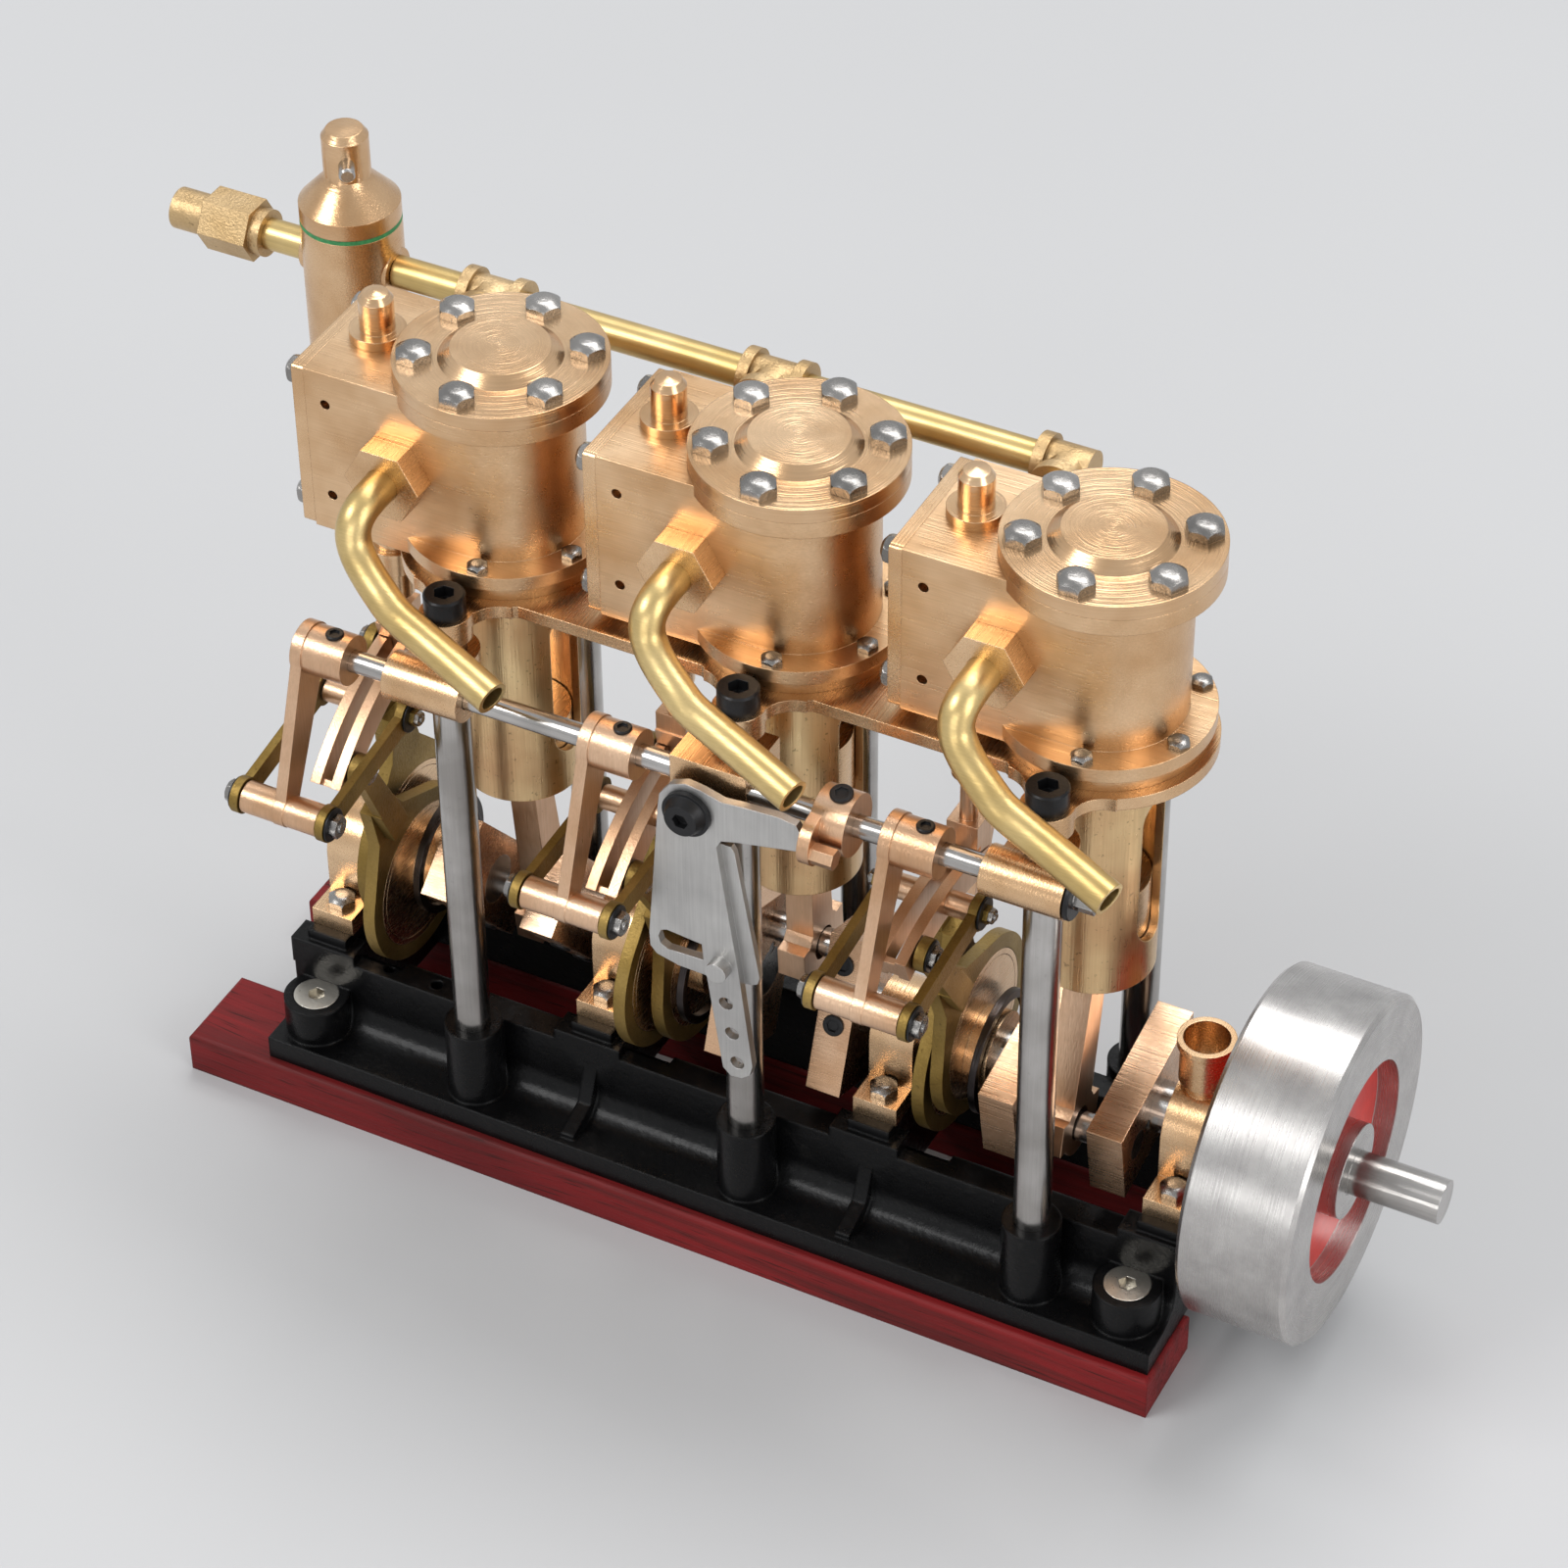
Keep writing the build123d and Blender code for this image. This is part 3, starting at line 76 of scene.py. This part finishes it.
# ---- shader graphs ------------------------------------------------------------------------
class Graph:
    """Builds one material's node tree."""

    def __init__(self, name):
        self.mat = bpy.data.materials.new(name)
        self.mat.use_nodes = True
        self.tree = self.mat.node_tree
        self.tree.nodes.clear()
        out = self.tree.nodes.new("ShaderNodeOutputMaterial")
        self.bsdf = self.tree.nodes.new("ShaderNodeBsdfPrincipled")
        self.tree.links.new(self.bsdf.outputs[0], out.inputs[0])
        self.coord = self.tree.nodes.new("ShaderNodeTexCoord").outputs["Object"]

    def node(self, kind, inputs=None, out=0, **props):
        n = self.tree.nodes.new(kind)
        for key, value in props.items():
            setattr(n, key, value)
        for key, value in (inputs or {}).items():
            self.put(n.inputs[key], value)
        return n.outputs[out]

    def put(self, socket, value):
        if isinstance(value, bpy.types.NodeSocket):
            self.tree.links.new(value, socket)
        else:
            socket.default_value = value

    def math(self, op, a, b=0.0, c=0.0, clamp=False):
        return self.node("ShaderNodeMath", {0: a, 1: b, 2: c}, operation=op, use_clamp=clamp)

    def noise(self, vector, scale, detail=3.0, rough=0.55):
        return self.node("ShaderNodeTexNoise", {
            "Vector": vector, "Scale": scale, "Detail": detail, "Roughness": rough})

    def scaled(self, x, y, z):
        return self.node("ShaderNodeMapping", {"Vector": self.coord, "Scale": (x, y, z)})

    def ramp(self, value, lo, hi, out_lo=0.0, out_hi=1.0):
        return self.node("ShaderNodeMapRange", {0: value, 1: lo, 2: hi, 3: out_lo, 4: out_hi})

    def mix(self, fac, a, b):
        return self.node("ShaderNodeMix", {0: fac, 6: a, 7: b}, out=2, data_type="RGBA")

    def xyz(self):
        sep = self.tree.nodes.new("ShaderNodeSeparateXYZ")
        self.tree.links.new(self.coord, sep.inputs[0])
        return sep.outputs

    def turned(self, kind, centre):
        """Vector that is constant round an axis: 'z3' about every cylinder, 'z' or 'x' about one axis."""
        x, y, z = self.xyz()
        if kind == "x":
            along = x
            u = self.math("SUBTRACT", y, centre[0])
            v = self.math("SUBTRACT", z, centre[1])
        else:
            along = z
            u = self.math("SUBTRACT", x, centre[0])
            v = self.math("SUBTRACT", y, centre[1])
            if kind == "z3":
                u = self.math("WRAP", u, PITCH * MM / 2, -PITCH * MM / 2)
        radius = self.math("SQRT", self.math("ADD", self.math("MULTIPLY", u, u), self.math("MULTIPLY", v, v)))
        angle = self.math("ARCTAN2", u, v)
        return self.node("ShaderNodeCombineXYZ", {
            0: self.math("MULTIPLY", radius, 4200.0), 1: self.math("MULTIPLY", along, 4200.0),
            2: self.math("MULTIPLY", angle, 0.6)}), radius

    def brushed(self, axis, fine=4200.0, long=90.0):
        s = [fine, fine, fine]
        s["XYZ".index(axis)] = long
        return self.scaled(*s)


def rgba(c):
    return (c[0], c[1], c[2], 1.0)


def metal(name, dark, light, grain, rough=0.26, spread=0.14, bump=0.25, metallic=1.0, centre=(0, 0),
          hollow_shade_and_tarnish=0.22, speck=0.0, tint=None):
    """Machined or cast metal. grain is X, Y or Z for brush lines, z3, z or x for turning, or cast."""
    g = Graph(name)
    if grain == "cast":
        lines = g.noise(g.coord, 2600.0, 4.0, 0.6)
    elif grain in ("X", "Y", "Z"):
        lines = g.noise(g.brushed(grain), 1.0, 2.0, 0.6)
    else:
        lines = g.noise(g.turned(grain, centre)[0], 1.0, 2.0, 0.6)
    broad = g.noise(g.coord, 70.0, 3.0, 0.6)
    blotch = g.noise(g.coord, 260.0, 4.0, 0.65)
    colour = g.mix(g.ramp(broad, 0.32, 0.68), rgba(dark), rgba(light))
    colour = g.mix(g.ramp(lines, 0.25, 0.75, 0.0, 0.22), colour, rgba([c * 0.45 for c in dark]))
    if tint:
        colour = g.mix(g.ramp(blotch, 0.5, 0.72, 0.0, 0.45), colour, rgba(tint))
    # Painted shade: the colour darkens where ambient occlusion finds hollows and contact gaps, standing
    # partly for tarnish in the hollows and partly for the shade that falls there.
    if hollow_shade_and_tarnish:
        ao = g.node("ShaderNodeAmbientOcclusion", {"Distance": 0.004}, out=1, samples=6)
        colour = g.mix(g.ramp(ao, 0.35, 0.85, hollow_shade_and_tarnish, 0.0), colour, rgba([c * 0.22 for c in dark]))
    if speck:
        dots = g.noise(g.coord, 1500.0, 2.0, 0.5)
        colour = g.mix(g.ramp(dots, 0.66, 0.72, 0.0, speck), colour, rgba([c * 0.25 for c in dark]))
    g.put(g.bsdf.inputs["Base Color"], colour)
    g.bsdf.inputs["Metallic"].default_value = metallic
    wear = g.math("ADD", g.math("MULTIPLY", lines, spread), g.math("MULTIPLY", blotch, spread * 0.8))
    g.put(g.bsdf.inputs["Roughness"], g.math("ADD", wear, rough - spread * 0.9, clamp=True))
    soft = g.node("ShaderNodeBevel", {"Radius": METAL_EDGE * MM}, samples=4)
    g.put(g.bsdf.inputs["Normal"], g.node("ShaderNodeBump", {
        "Strength": bump, "Distance": 0.00012, "Height": lines, "Normal": soft}))
    return g.mat


BRASS_D, BRASS_L = (0.65, 0.393, 0.202), (0.905, 0.635, 0.392)
ROSE_D, ROSE_L = (0.62, 0.36, 0.20), (0.86, 0.59, 0.40)
OLIVE_D, OLIVE_L = (0.22, 0.14, 0.035), (0.44, 0.30, 0.10)
STEEL_D, STEEL_L = (0.36, 0.34, 0.32), (0.62, 0.60, 0.58)
CYL = (DX * MM, DY * MM)
VAL = ((VALVE_X + DX) * MM, DY * MM)
CRANK = (DY * MM, SHAFT_Z * MM)

MAT = {
    "barrel": metal("brass_barrel", BRASS_D, BRASS_L, "X", 0.30, 0.16, 0.3),
    "head": metal("brass_turned", BRASS_D, BRASS_L, "z3", 0.24, 0.14, 0.35, centre=CYL),
    "guide": metal("brass_guide", BRASS_D, (0.88, 0.65, 0.35), "Z", 0.30, 0.14, 0.3, speck=0.5),
    "brass": metal("brass_plain", BRASS_D, BRASS_L, "Y", 0.27, 0.14, 0.2),
    "valve": metal("brass_valve", BRASS_D, BRASS_L, "z3", 0.22, 0.12, 0.25, centre=VAL),
    "rose": metal("bronze_brushed", ROSE_D, ROSE_L, "Z", 0.32, 0.16, 0.3),
    "web": metal("bronze_web", ROSE_D, ROSE_L, "X", 0.28, 0.16, 0.3, tint=(0.4, 0.2, 0.1)),
    "olive": metal("brass_cast_olive", OLIVE_D, OLIVE_L, "cast", 0.46, 0.2, 0.7, speck=0.4, hollow_shade_and_tarnish=0.5),
    "tee": metal("brass_cast", (0.54, 0.36, 0.17), (0.76, 0.56, 0.32), "cast",
                 0.42, 0.2, 0.8, speck=0.5, hollow_shade_and_tarnish=0.5),
    "pipe": metal("brass_drawn", (0.60, 0.42, 0.16), (0.80, 0.61, 0.29), "X", 0.36, 0.1, 0.12),
    "column": metal("steel_ground", STEEL_D, STEEL_L, "Z", 0.22, 0.1, 0.15, hollow_shade_and_tarnish=0.25, speck=0.15),
    "shaft": metal("steel_shaft", STEEL_D, STEEL_L, "X", 0.2, 0.1, 0.2, hollow_shade_and_tarnish=0.3),
    "lever": metal("steel_lever", (0.46, 0.45, 0.44), (0.66, 0.65, 0.63), "Z", 0.42, 0.14, 0.2, speck=0.1),
    "bolt": metal("steel_bolt", (0.22, 0.21, 0.20), (0.46, 0.44, 0.42), "cast", 0.26, 0.14, 0.25),
    "nickel": metal("nickel", (0.55, 0.52, 0.46), (0.78, 0.74, 0.66), "cast", 0.3, 0.12, 0.2, hollow_shade_and_tarnish=0.2),
    "black": metal("black_oxide", (0.012, 0.012, 0.013), (0.03, 0.03, 0.032), "cast", 0.34, 0.14, 0.3,
                   metallic=0.6, hollow_shade_and_tarnish=0.0),
    "ring": metal("blackened_ring", (0.03, 0.025, 0.025), (0.10, 0.085, 0.08), "x",
                  0.3, 0.16, 0.3, centre=CRANK),
}


def enamel(name):
    """Satin black enamel over a cast surface."""
    g = Graph(name)
    pits = g.noise(g.coord, 900.0, 5.0, 0.6)
    broad = g.noise(g.coord, 60.0, 3.0)
    dust = g.noise(g.coord, 240.0, 4.0, 0.7)
    colour = g.mix(g.ramp(broad, 0.3, 0.7), rgba((0.0015, 0.0015, 0.0017)), rgba((0.0035, 0.0035, 0.0038)))
    colour = g.mix(g.ramp(dust, 0.62, 0.75, 0.0, 0.12), colour, rgba((0.05, 0.045, 0.04)))
    g.put(g.bsdf.inputs["Base Color"], colour)
    g.put(g.bsdf.inputs["Roughness"], g.ramp(dust, 0.3, 0.7, 0.24, 0.36))
    g.bsdf.inputs["Specular IOR Level"].default_value = 0.16
    g.bsdf.inputs["Coat Weight"].default_value = 0.06
    g.bsdf.inputs["Coat Roughness"].default_value = 0.1
    soft = g.node("ShaderNodeBevel", {"Radius": 0.6 * MM}, samples=6)
    g.put(g.bsdf.inputs["Normal"], g.node("ShaderNodeBump", {
        "Strength": 0.35, "Distance": 0.00025, "Height": pits, "Normal": soft}))
    return g.mat


def stained_wood(name):
    """Red-stained close-grained hardwood with darker pores along X."""
    g = Graph(name)
    bend = g.node("ShaderNodeVectorMath", {0: g.coord, 1: g.node("ShaderNodeVectorMath", {
        0: g.node("ShaderNodeTexNoise", {"Vector": g.scaled(14, 60, 60), "Scale": 1.0}, out=1),
        1: (0.0, 0.006, 0.006)}, operation="MULTIPLY")}, operation="ADD")
    bands = g.noise(g.node("ShaderNodeMapping", {"Vector": bend, "Scale": (12, 420, 420)}), 1.0, 4.0, 0.6)
    pores = g.noise(g.node("ShaderNodeMapping", {"Vector": bend, "Scale": (90, 2600, 2600)}), 1.0, 2.0, 0.6)
    broad = g.noise(g.scaled(20, 90, 90), 1.0, 2.0)
    colour = g.mix(g.ramp(broad, 0.3, 0.7), rgba((0.10, 0.004, 0.005)), rgba((0.21, 0.010, 0.011)))
    colour = g.mix(g.ramp(bands, 0.48, 0.70, 0.0, 0.75), colour, rgba((0.055, 0.008, 0.007)))
    colour = g.mix(g.ramp(pores, 0.60, 0.70, 0.0, 0.8), colour, rgba((0.03, 0.005, 0.004)))
    g.put(g.bsdf.inputs["Base Color"], colour)
    g.put(g.bsdf.inputs["Roughness"], g.ramp(pores, 0.3, 0.8, 0.42, 0.62))
    g.bsdf.inputs["Specular IOR Level"].default_value = 0.22
    soft = g.node("ShaderNodeBevel", {"Radius": 0.5 * MM}, samples=4)
    g.put(g.bsdf.inputs["Normal"], g.node("ShaderNodeBump", {
        "Strength": 0.4, "Distance": 0.0002, "Height": g.math("SUBTRACT", bands, pores), "Normal": soft}))
    return g.mat


def flywheel_paint(name):
    """Bright turned steel with a glossy red recess."""
    g = Graph(name)
    grain, radius = g.turned("x", CRANK)
    lines = g.noise(grain, 1.0, 2.0, 0.6)
    blotch = g.noise(g.coord, 200.0, 4.0, 0.65)
    recess = g.math("MULTIPLY", g.math("LESS_THAN", radius, RECESS_OUT * MM),
                    g.math("GREATER_THAN", radius, RECESS_IN * MM))
    steel = g.mix(g.ramp(blotch, 0.3, 0.7), rgba((0.44, 0.42, 0.41)), rgba((0.60, 0.58, 0.56)))
    steel = g.mix(g.ramp(lines, 0.3, 0.75, 0.0, 0.12), steel, rgba((0.22, 0.21, 0.2)))
    red = g.mix(g.ramp(blotch, 0.3, 0.7), rgba((0.48, 0.016, 0.012)), rgba((0.64, 0.030, 0.020)))
    g.put(g.bsdf.inputs["Base Color"], g.mix(recess, steel, red))
    g.put(g.bsdf.inputs["Metallic"], g.math("SUBTRACT", 1.0, recess))
    g.put(g.bsdf.inputs["Roughness"], g.math(
        "ADD", g.math("MULTIPLY", recess, 0.06), g.ramp(lines, 0.2, 0.8, 0.24, 0.32)))
    soft = g.node("ShaderNodeBevel", {"Radius": 0.2 * MM}, samples=4)
    g.put(g.bsdf.inputs["Normal"], g.node("ShaderNodeBump", {
        "Strength": 0.08, "Distance": 0.0001, "Height": lines, "Normal": soft}))
    g.bsdf.inputs["Specular IOR Level"].default_value = 0.25
    return g.mat


def fibre(name):
    """Green fibre washer."""
    g = Graph(name)
    fleck = g.noise(g.coord, 1800.0, 3.0)
    g.put(g.bsdf.inputs["Base Color"], g.mix(
        g.ramp(fleck, 0.3, 0.7), rgba((0.02, 0.16, 0.05)), rgba((0.05, 0.30, 0.10))))
    g.put(g.bsdf.inputs["Roughness"], g.ramp(fleck, 0.3, 0.7, 0.5, 0.7))
    g.put(g.bsdf.inputs["Normal"], g.node("ShaderNodeBump", {
        "Strength": 0.4, "Distance": 0.0001, "Height": fleck}))
    return g.mat


MAT["enamel"] = enamel("black_enamel")
MAT["wood"] = stained_wood("stained_wood")
MAT["flywheel"] = flywheel_paint("flywheel_steel_and_red")
MAT["fibre"] = fibre("green_fibre")

LOOKS = {
    "wooden_rails": "wood", "base_casting": "enamel", "base_screws": "nickel", "columns": "column",
    "socket_screws": "black", "entablature_plate": "brass",
    "cylinder_blocks": "barrel", "cylinder_heads": "head",
    "hex_bolts": "bolt", "chest_covers": "brass", "valve_caps": "valve", "exhaust_unions": "brass",
    "exhaust_pipes": "pipe", "trunk_guides": "guide", "gland_nuts": "valve", "bearing_blocks": "brass",
    "steam_manifold": "pipe", "manifold_fittings": "tee", "lubricator_pot": "brass",
    "lubricator_seal": "fibre",
    "lubricator_cap": "head", "shaft_brackets": "brass", "weighshaft": "shaft", "reversing_arms": "rose",
    "reversing_lever": "lever", "drag_links": "olive", "crankshaft": "shaft", "crank_webs": "web",
    "eccentric_sheaves": "brass", "flywheel": "flywheel",
}
PER_CYLINDER = {
    "crank_key": "shaft", "crosshead": "brass", "piston": "column", "small_end_screw": "shaft",
    "connecting_rod": "rose", "sheave_retainer": "ring", "valve_rod": "rose", "expansion_link": "rose",
    "strap_liners": "brass", "eccentric_straps": "olive",
}
for node_name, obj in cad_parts.items():
    look_name = LOOKS.get(node_name) or PER_CYLINDER[node_name.rsplit("_", 1)[0]]
    obj.data.materials.clear()
    obj.data.materials.append(MAT[look_name])
    if "custom_normal" in obj.data.attributes:
        obj.data.attributes.remove(obj.data.attributes["custom_normal"])
    for poly in obj.data.polygons:
        poly.use_smooth = True
    weld = obj.modifiers.new("weld", "WELD")
    weld.merge_threshold = 1e-6
    split = obj.modifiers.new("split", "EDGE_SPLIT")
    split.split_angle = math.radians(32)


# ---- small pieces -------------------------------------------------------------------------
SIDES = 36


def ring_point(kind, radius, k):
    """One point of a loop: c is round, h is hexagonal with its radius to the flats."""
    angle = 2 * math.pi * k / SIDES
    if kind == "h":
        radius = radius / math.cos((angle % (math.pi / 3)) - math.pi / 6)
    return radius * math.cos(angle), radius * math.sin(angle)


def loft(name, loops, origin, axis, body, mat):
    """Closed piece through loops of (kind, radius, height) in millimetres along an axis."""
    bm = bmesh.new()
    turn = Vector(axis).to_track_quat("Z", "Y").to_matrix()
    rows = []
    for kind, radius, height in loops:
        row = []
        for k in range(SIDES):
            u, v = ring_point(kind, radius, k)
            row.append(bm.verts.new(origin + turn @ Vector((u * MM, v * MM, height * MM))))
        rows.append(row)
    for lower, upper in zip(rows, rows[1:]):
        for k in range(SIDES):
            n = (k + 1) % SIDES
            bm.faces.new((lower[k], lower[n], upper[n], upper[k]))
    bm.faces.new(list(reversed(rows[0])))
    bm.faces.new(rows[-1])
    mesh = bpy.data.meshes.new(name)
    bm.to_mesh(mesh)
    bm.free()
    for poly in mesh.polygons:
        poly.use_smooth = True
    mesh.set_sharp_from_angle(angle=math.radians(35))
    piece = bpy.data.objects.new(name, mesh)
    bpy.context.scene.collection.objects.link(piece)
    mesh.materials.append(MAT[mat])
    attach(piece, body)
    return piece


def set_screw(name, origin, axis, radius, body, proud=0.35):
    """Black grub screw with a hexagon socket."""
    loops = [("c", radius, -0.6), ("c", radius, proud - 0.12), ("c", radius * 0.9, proud),
             ("h", radius * 0.52, proud), ("h", radius * 0.5, proud - 0.3)]
    return loft(name, loops, origin, axis, body, "black")


def washer(name, origin, axis, inner, outer, thick, body):
    """Black washer with broken edges."""
    loops = [("c", inner, 0), ("c", outer * 0.96, 0), ("c", outer, thick * 0.2), ("c", outer, thick * 0.8),
             ("c", outer * 0.96, thick), ("c", inner, thick)]
    return loft(name, loops, origin, axis, body, "black")


def hex_nut(name, origin, axis, flats, thick, body):
    """Chamfered steel hexagon with a domed middle."""
    loops = [("h", flats / 2, 0), ("h", flats / 2, thick * 0.8), ("c", flats * 0.5, thick),
             ("c", flats * 0.26, thick), ("c", flats * 0.24, thick + 0.3), ("c", flats * 0.1, thick + 0.35)]
    return loft(name, loops, origin, axis, body, "bolt")


def polar(radius, angle):
    return radius * math.cos(math.radians(angle)), radius * math.sin(math.radians(angle))


for number, (x, crank) in enumerate(zip(CYLINDERS, CRANKS), start=1):
    facing = min((crank + 90, crank - 90), key=lambda a: polar(1, a)[0] - 0.6 * polar(1, a)[1])
    for tag, mid in (("l", x - 7.7), ("r", x + 7.7)):
        if number == 3:
            continue
        for place, reach in (("pin", 7.4), ("shaft", -1.5)):
            py, pz = polar(reach, crank)
            ny, nz = polar(1.0, facing)
            spot = at(mid, py + 6 * ny, SHAFT_Z + pz + 6 * nz)
            set_screw(f"web_screw_{number}_{tag}_{place}", spot, (0, ny, nz), 1.5, "crankshaft")
    hy, hz = polar(5.6, crank + 55)
    set_screw(f"hub_screw_{number}", at(x - 14.7, hy, SHAFT_Z + hz), (0, hy, hz), 0.8, "crankshaft", 0.25)
    set_screw(f"arm_screw_{number}", at(x - 14.0, WEIGH_Y, WEIGH_Z + 3.4), (0, 0, 1), 1.2, "weighshaft", 0.3)
    for side, start in ((1, x + DRAG_RIGHT), (-1, x + DRAG_LEFT)):
        washer(f"arm_washer_{number}_{'r' if side > 0 else 'l'}", at(start, *ARM_PIN), (side, 0, 0),
               1.02, 2.3, 0.35, "weighshaft")
        hex_nut(f"arm_nut_{number}_{'r' if side > 0 else 'l'}", at(start + side * 0.35, *ARM_PIN),
                (side, 0, 0), 2.9, 1.0, "weighshaft")


def link_pins(crank):
    """Pins of one link in full ahead gear, (y, z) to 0.01 mm: ahead rod, astern rod and hanger."""
    ahead, astern = polar(ECCENTRICITY, crank + 120), polar(ECCENTRICITY, crank - 120)
    pin_step = math.degrees(math.asin(LINK_HALF / ECC_ROD))
    die_angle = 90 + math.degrees(math.asin((ahead[1] - astern[1]) / (2 * LINK_HALF)))
    middle = die_angle + LINK_SHIFT
    die = polar(ECC_ROD, die_angle)
    near = polar(ECC_ROD, middle - pin_step)
    rise = math.sqrt(ECC_ROD ** 2 - (near[0] - die[0] - ahead[0]) ** 2)
    centre = (-die[0], SHAFT_Z + ahead[1] + rise - near[1])
    return [tuple(round(c + a, 2) for c, a in zip(centre, polar(ECC_ROD, angle)))
            for angle in (middle - pin_step, middle + pin_step, middle)]


STRAP_OF_AHEAD, STRAP_OF_ASTERN = "abc", "bca"
for number, (x, crank) in enumerate(zip(CYLINDERS, CRANKS), start=1):
    near, far, hanger = link_pins(crank)
    ahead_body = "straps_" + STRAP_OF_AHEAD[number - 1]
    astern_body = "straps_" + STRAP_OF_ASTERN[number - 1]
    washer(f"ahead_washer_{number}", at(x + AHEAD_FACE, *near), (-1, 0, 0), 0.8, 2.1, 0.3, ahead_body)
    hex_nut(f"ahead_nut_{number}", at(x + AHEAD_FACE - 0.3, *near), (-1, 0, 0),
            2.8, 0.9, ahead_body)
    washer(f"astern_washer_{number}", at(x + ASTERN_FACE, *far), (1, 0, 0), 0.8, 2.1, 0.3, astern_body)
    hex_nut(f"astern_nut_{number}", at(x + ASTERN_FACE + 0.3, *far), (1, 0, 0),
            2.8, 0.8, astern_body)
    for tag, start, side in (("l", DRAG_LEFT, -1), ("r", DRAG_RIGHT, 1)):
        washer(f"hanger_washer_{number}_{tag}", at(x + start, *hanger), (side, 0, 0),
               1.28, 2.3, 0.35, "drag_links")
        hex_nut(f"hanger_stud_{number}_{tag}", at(x + start + side * 0.9, *hanger), (side, 0, 0),
                1.9, 0.7, "drag_links")
loft("cap_bar", [("c", 0.85, -5.7), ("c", 1.1, -5.45), ("c", 1.1, 5.45), ("c", 0.85, 5.7)],
     at(-82.1, 29.0, 124.0), (-0.54, 0.84, 0), "lubricator_cap", "shaft")
set_screw("clamp_screw", at(16.6, WEIGH_Y, WEIGH_Z + 4.15), (0, -0.15, 1), 1.5, "weighshaft", 0.5)
washer("shaft_washer", at(47.55, WEIGH_Y, WEIGH_Z), (1, 0, 0), 1.52, 3.1, 0.8, "weighshaft")

# ---- studio -------------------------------------------------------------------------------
floor_mesh = bpy.data.meshes.new("floor")
floor_mesh.from_pydata([(-3, -3, 0), (3, -3, 0), (3, 3, 0), (-3, 3, 0)], [], [(0, 1, 2, 3)])
floor = bpy.data.objects.new("floor", floor_mesh)
bpy.context.scene.collection.objects.link(floor)
paper = Graph("studio_floor")
paper.put(paper.bsdf.inputs["Base Color"], paper.mix(
    paper.ramp(paper.noise(paper.coord, 3.0), 0.3, 0.7),
    rgba((0.45, 0.45, 0.455)), rgba((0.48, 0.48, 0.485))))
paper.bsdf.inputs["Roughness"].default_value = 0.6
floor_mesh.materials.append(paper.mat)


def area(name, where, size, power, size_y=None, aim_at=(0, 0, 0.07)):
    data = bpy.data.lights.new(name, "AREA")
    data.energy = power
    data.shape = "RECTANGLE"
    data.size = size
    data.size_y = size_y or size
    lamp = bpy.data.objects.new(name, data)
    bpy.context.scene.collection.objects.link(lamp)
    lamp.location = where
    lamp.rotation_euler = (Vector(where) - Vector(aim_at)).to_track_quat("Z", "Y").to_euler()


area("key", (-0.7, -0.8, 1.1), 0.7, 9.0, 0.5)
area("top", (0.1, 0.5, 1.2), 1.2, 10.0, 0.5)
area("right", (1.1, -0.4, 0.5), 0.5, 5.0, 0.9)
area("front", (0.2, -1.3, 0.25), 0.9, 2.5, 0.3)
world = bpy.data.worlds.new("studio")
bpy.context.scene.world = world
world.use_nodes = True
world.node_tree.nodes["Background"].inputs[0].default_value = (0.86, 0.88, 0.9, 1)
world.node_tree.nodes["Background"].inputs[1].default_value = 0.75
bpy.context.scene.view_settings.view_transform = "Standard"
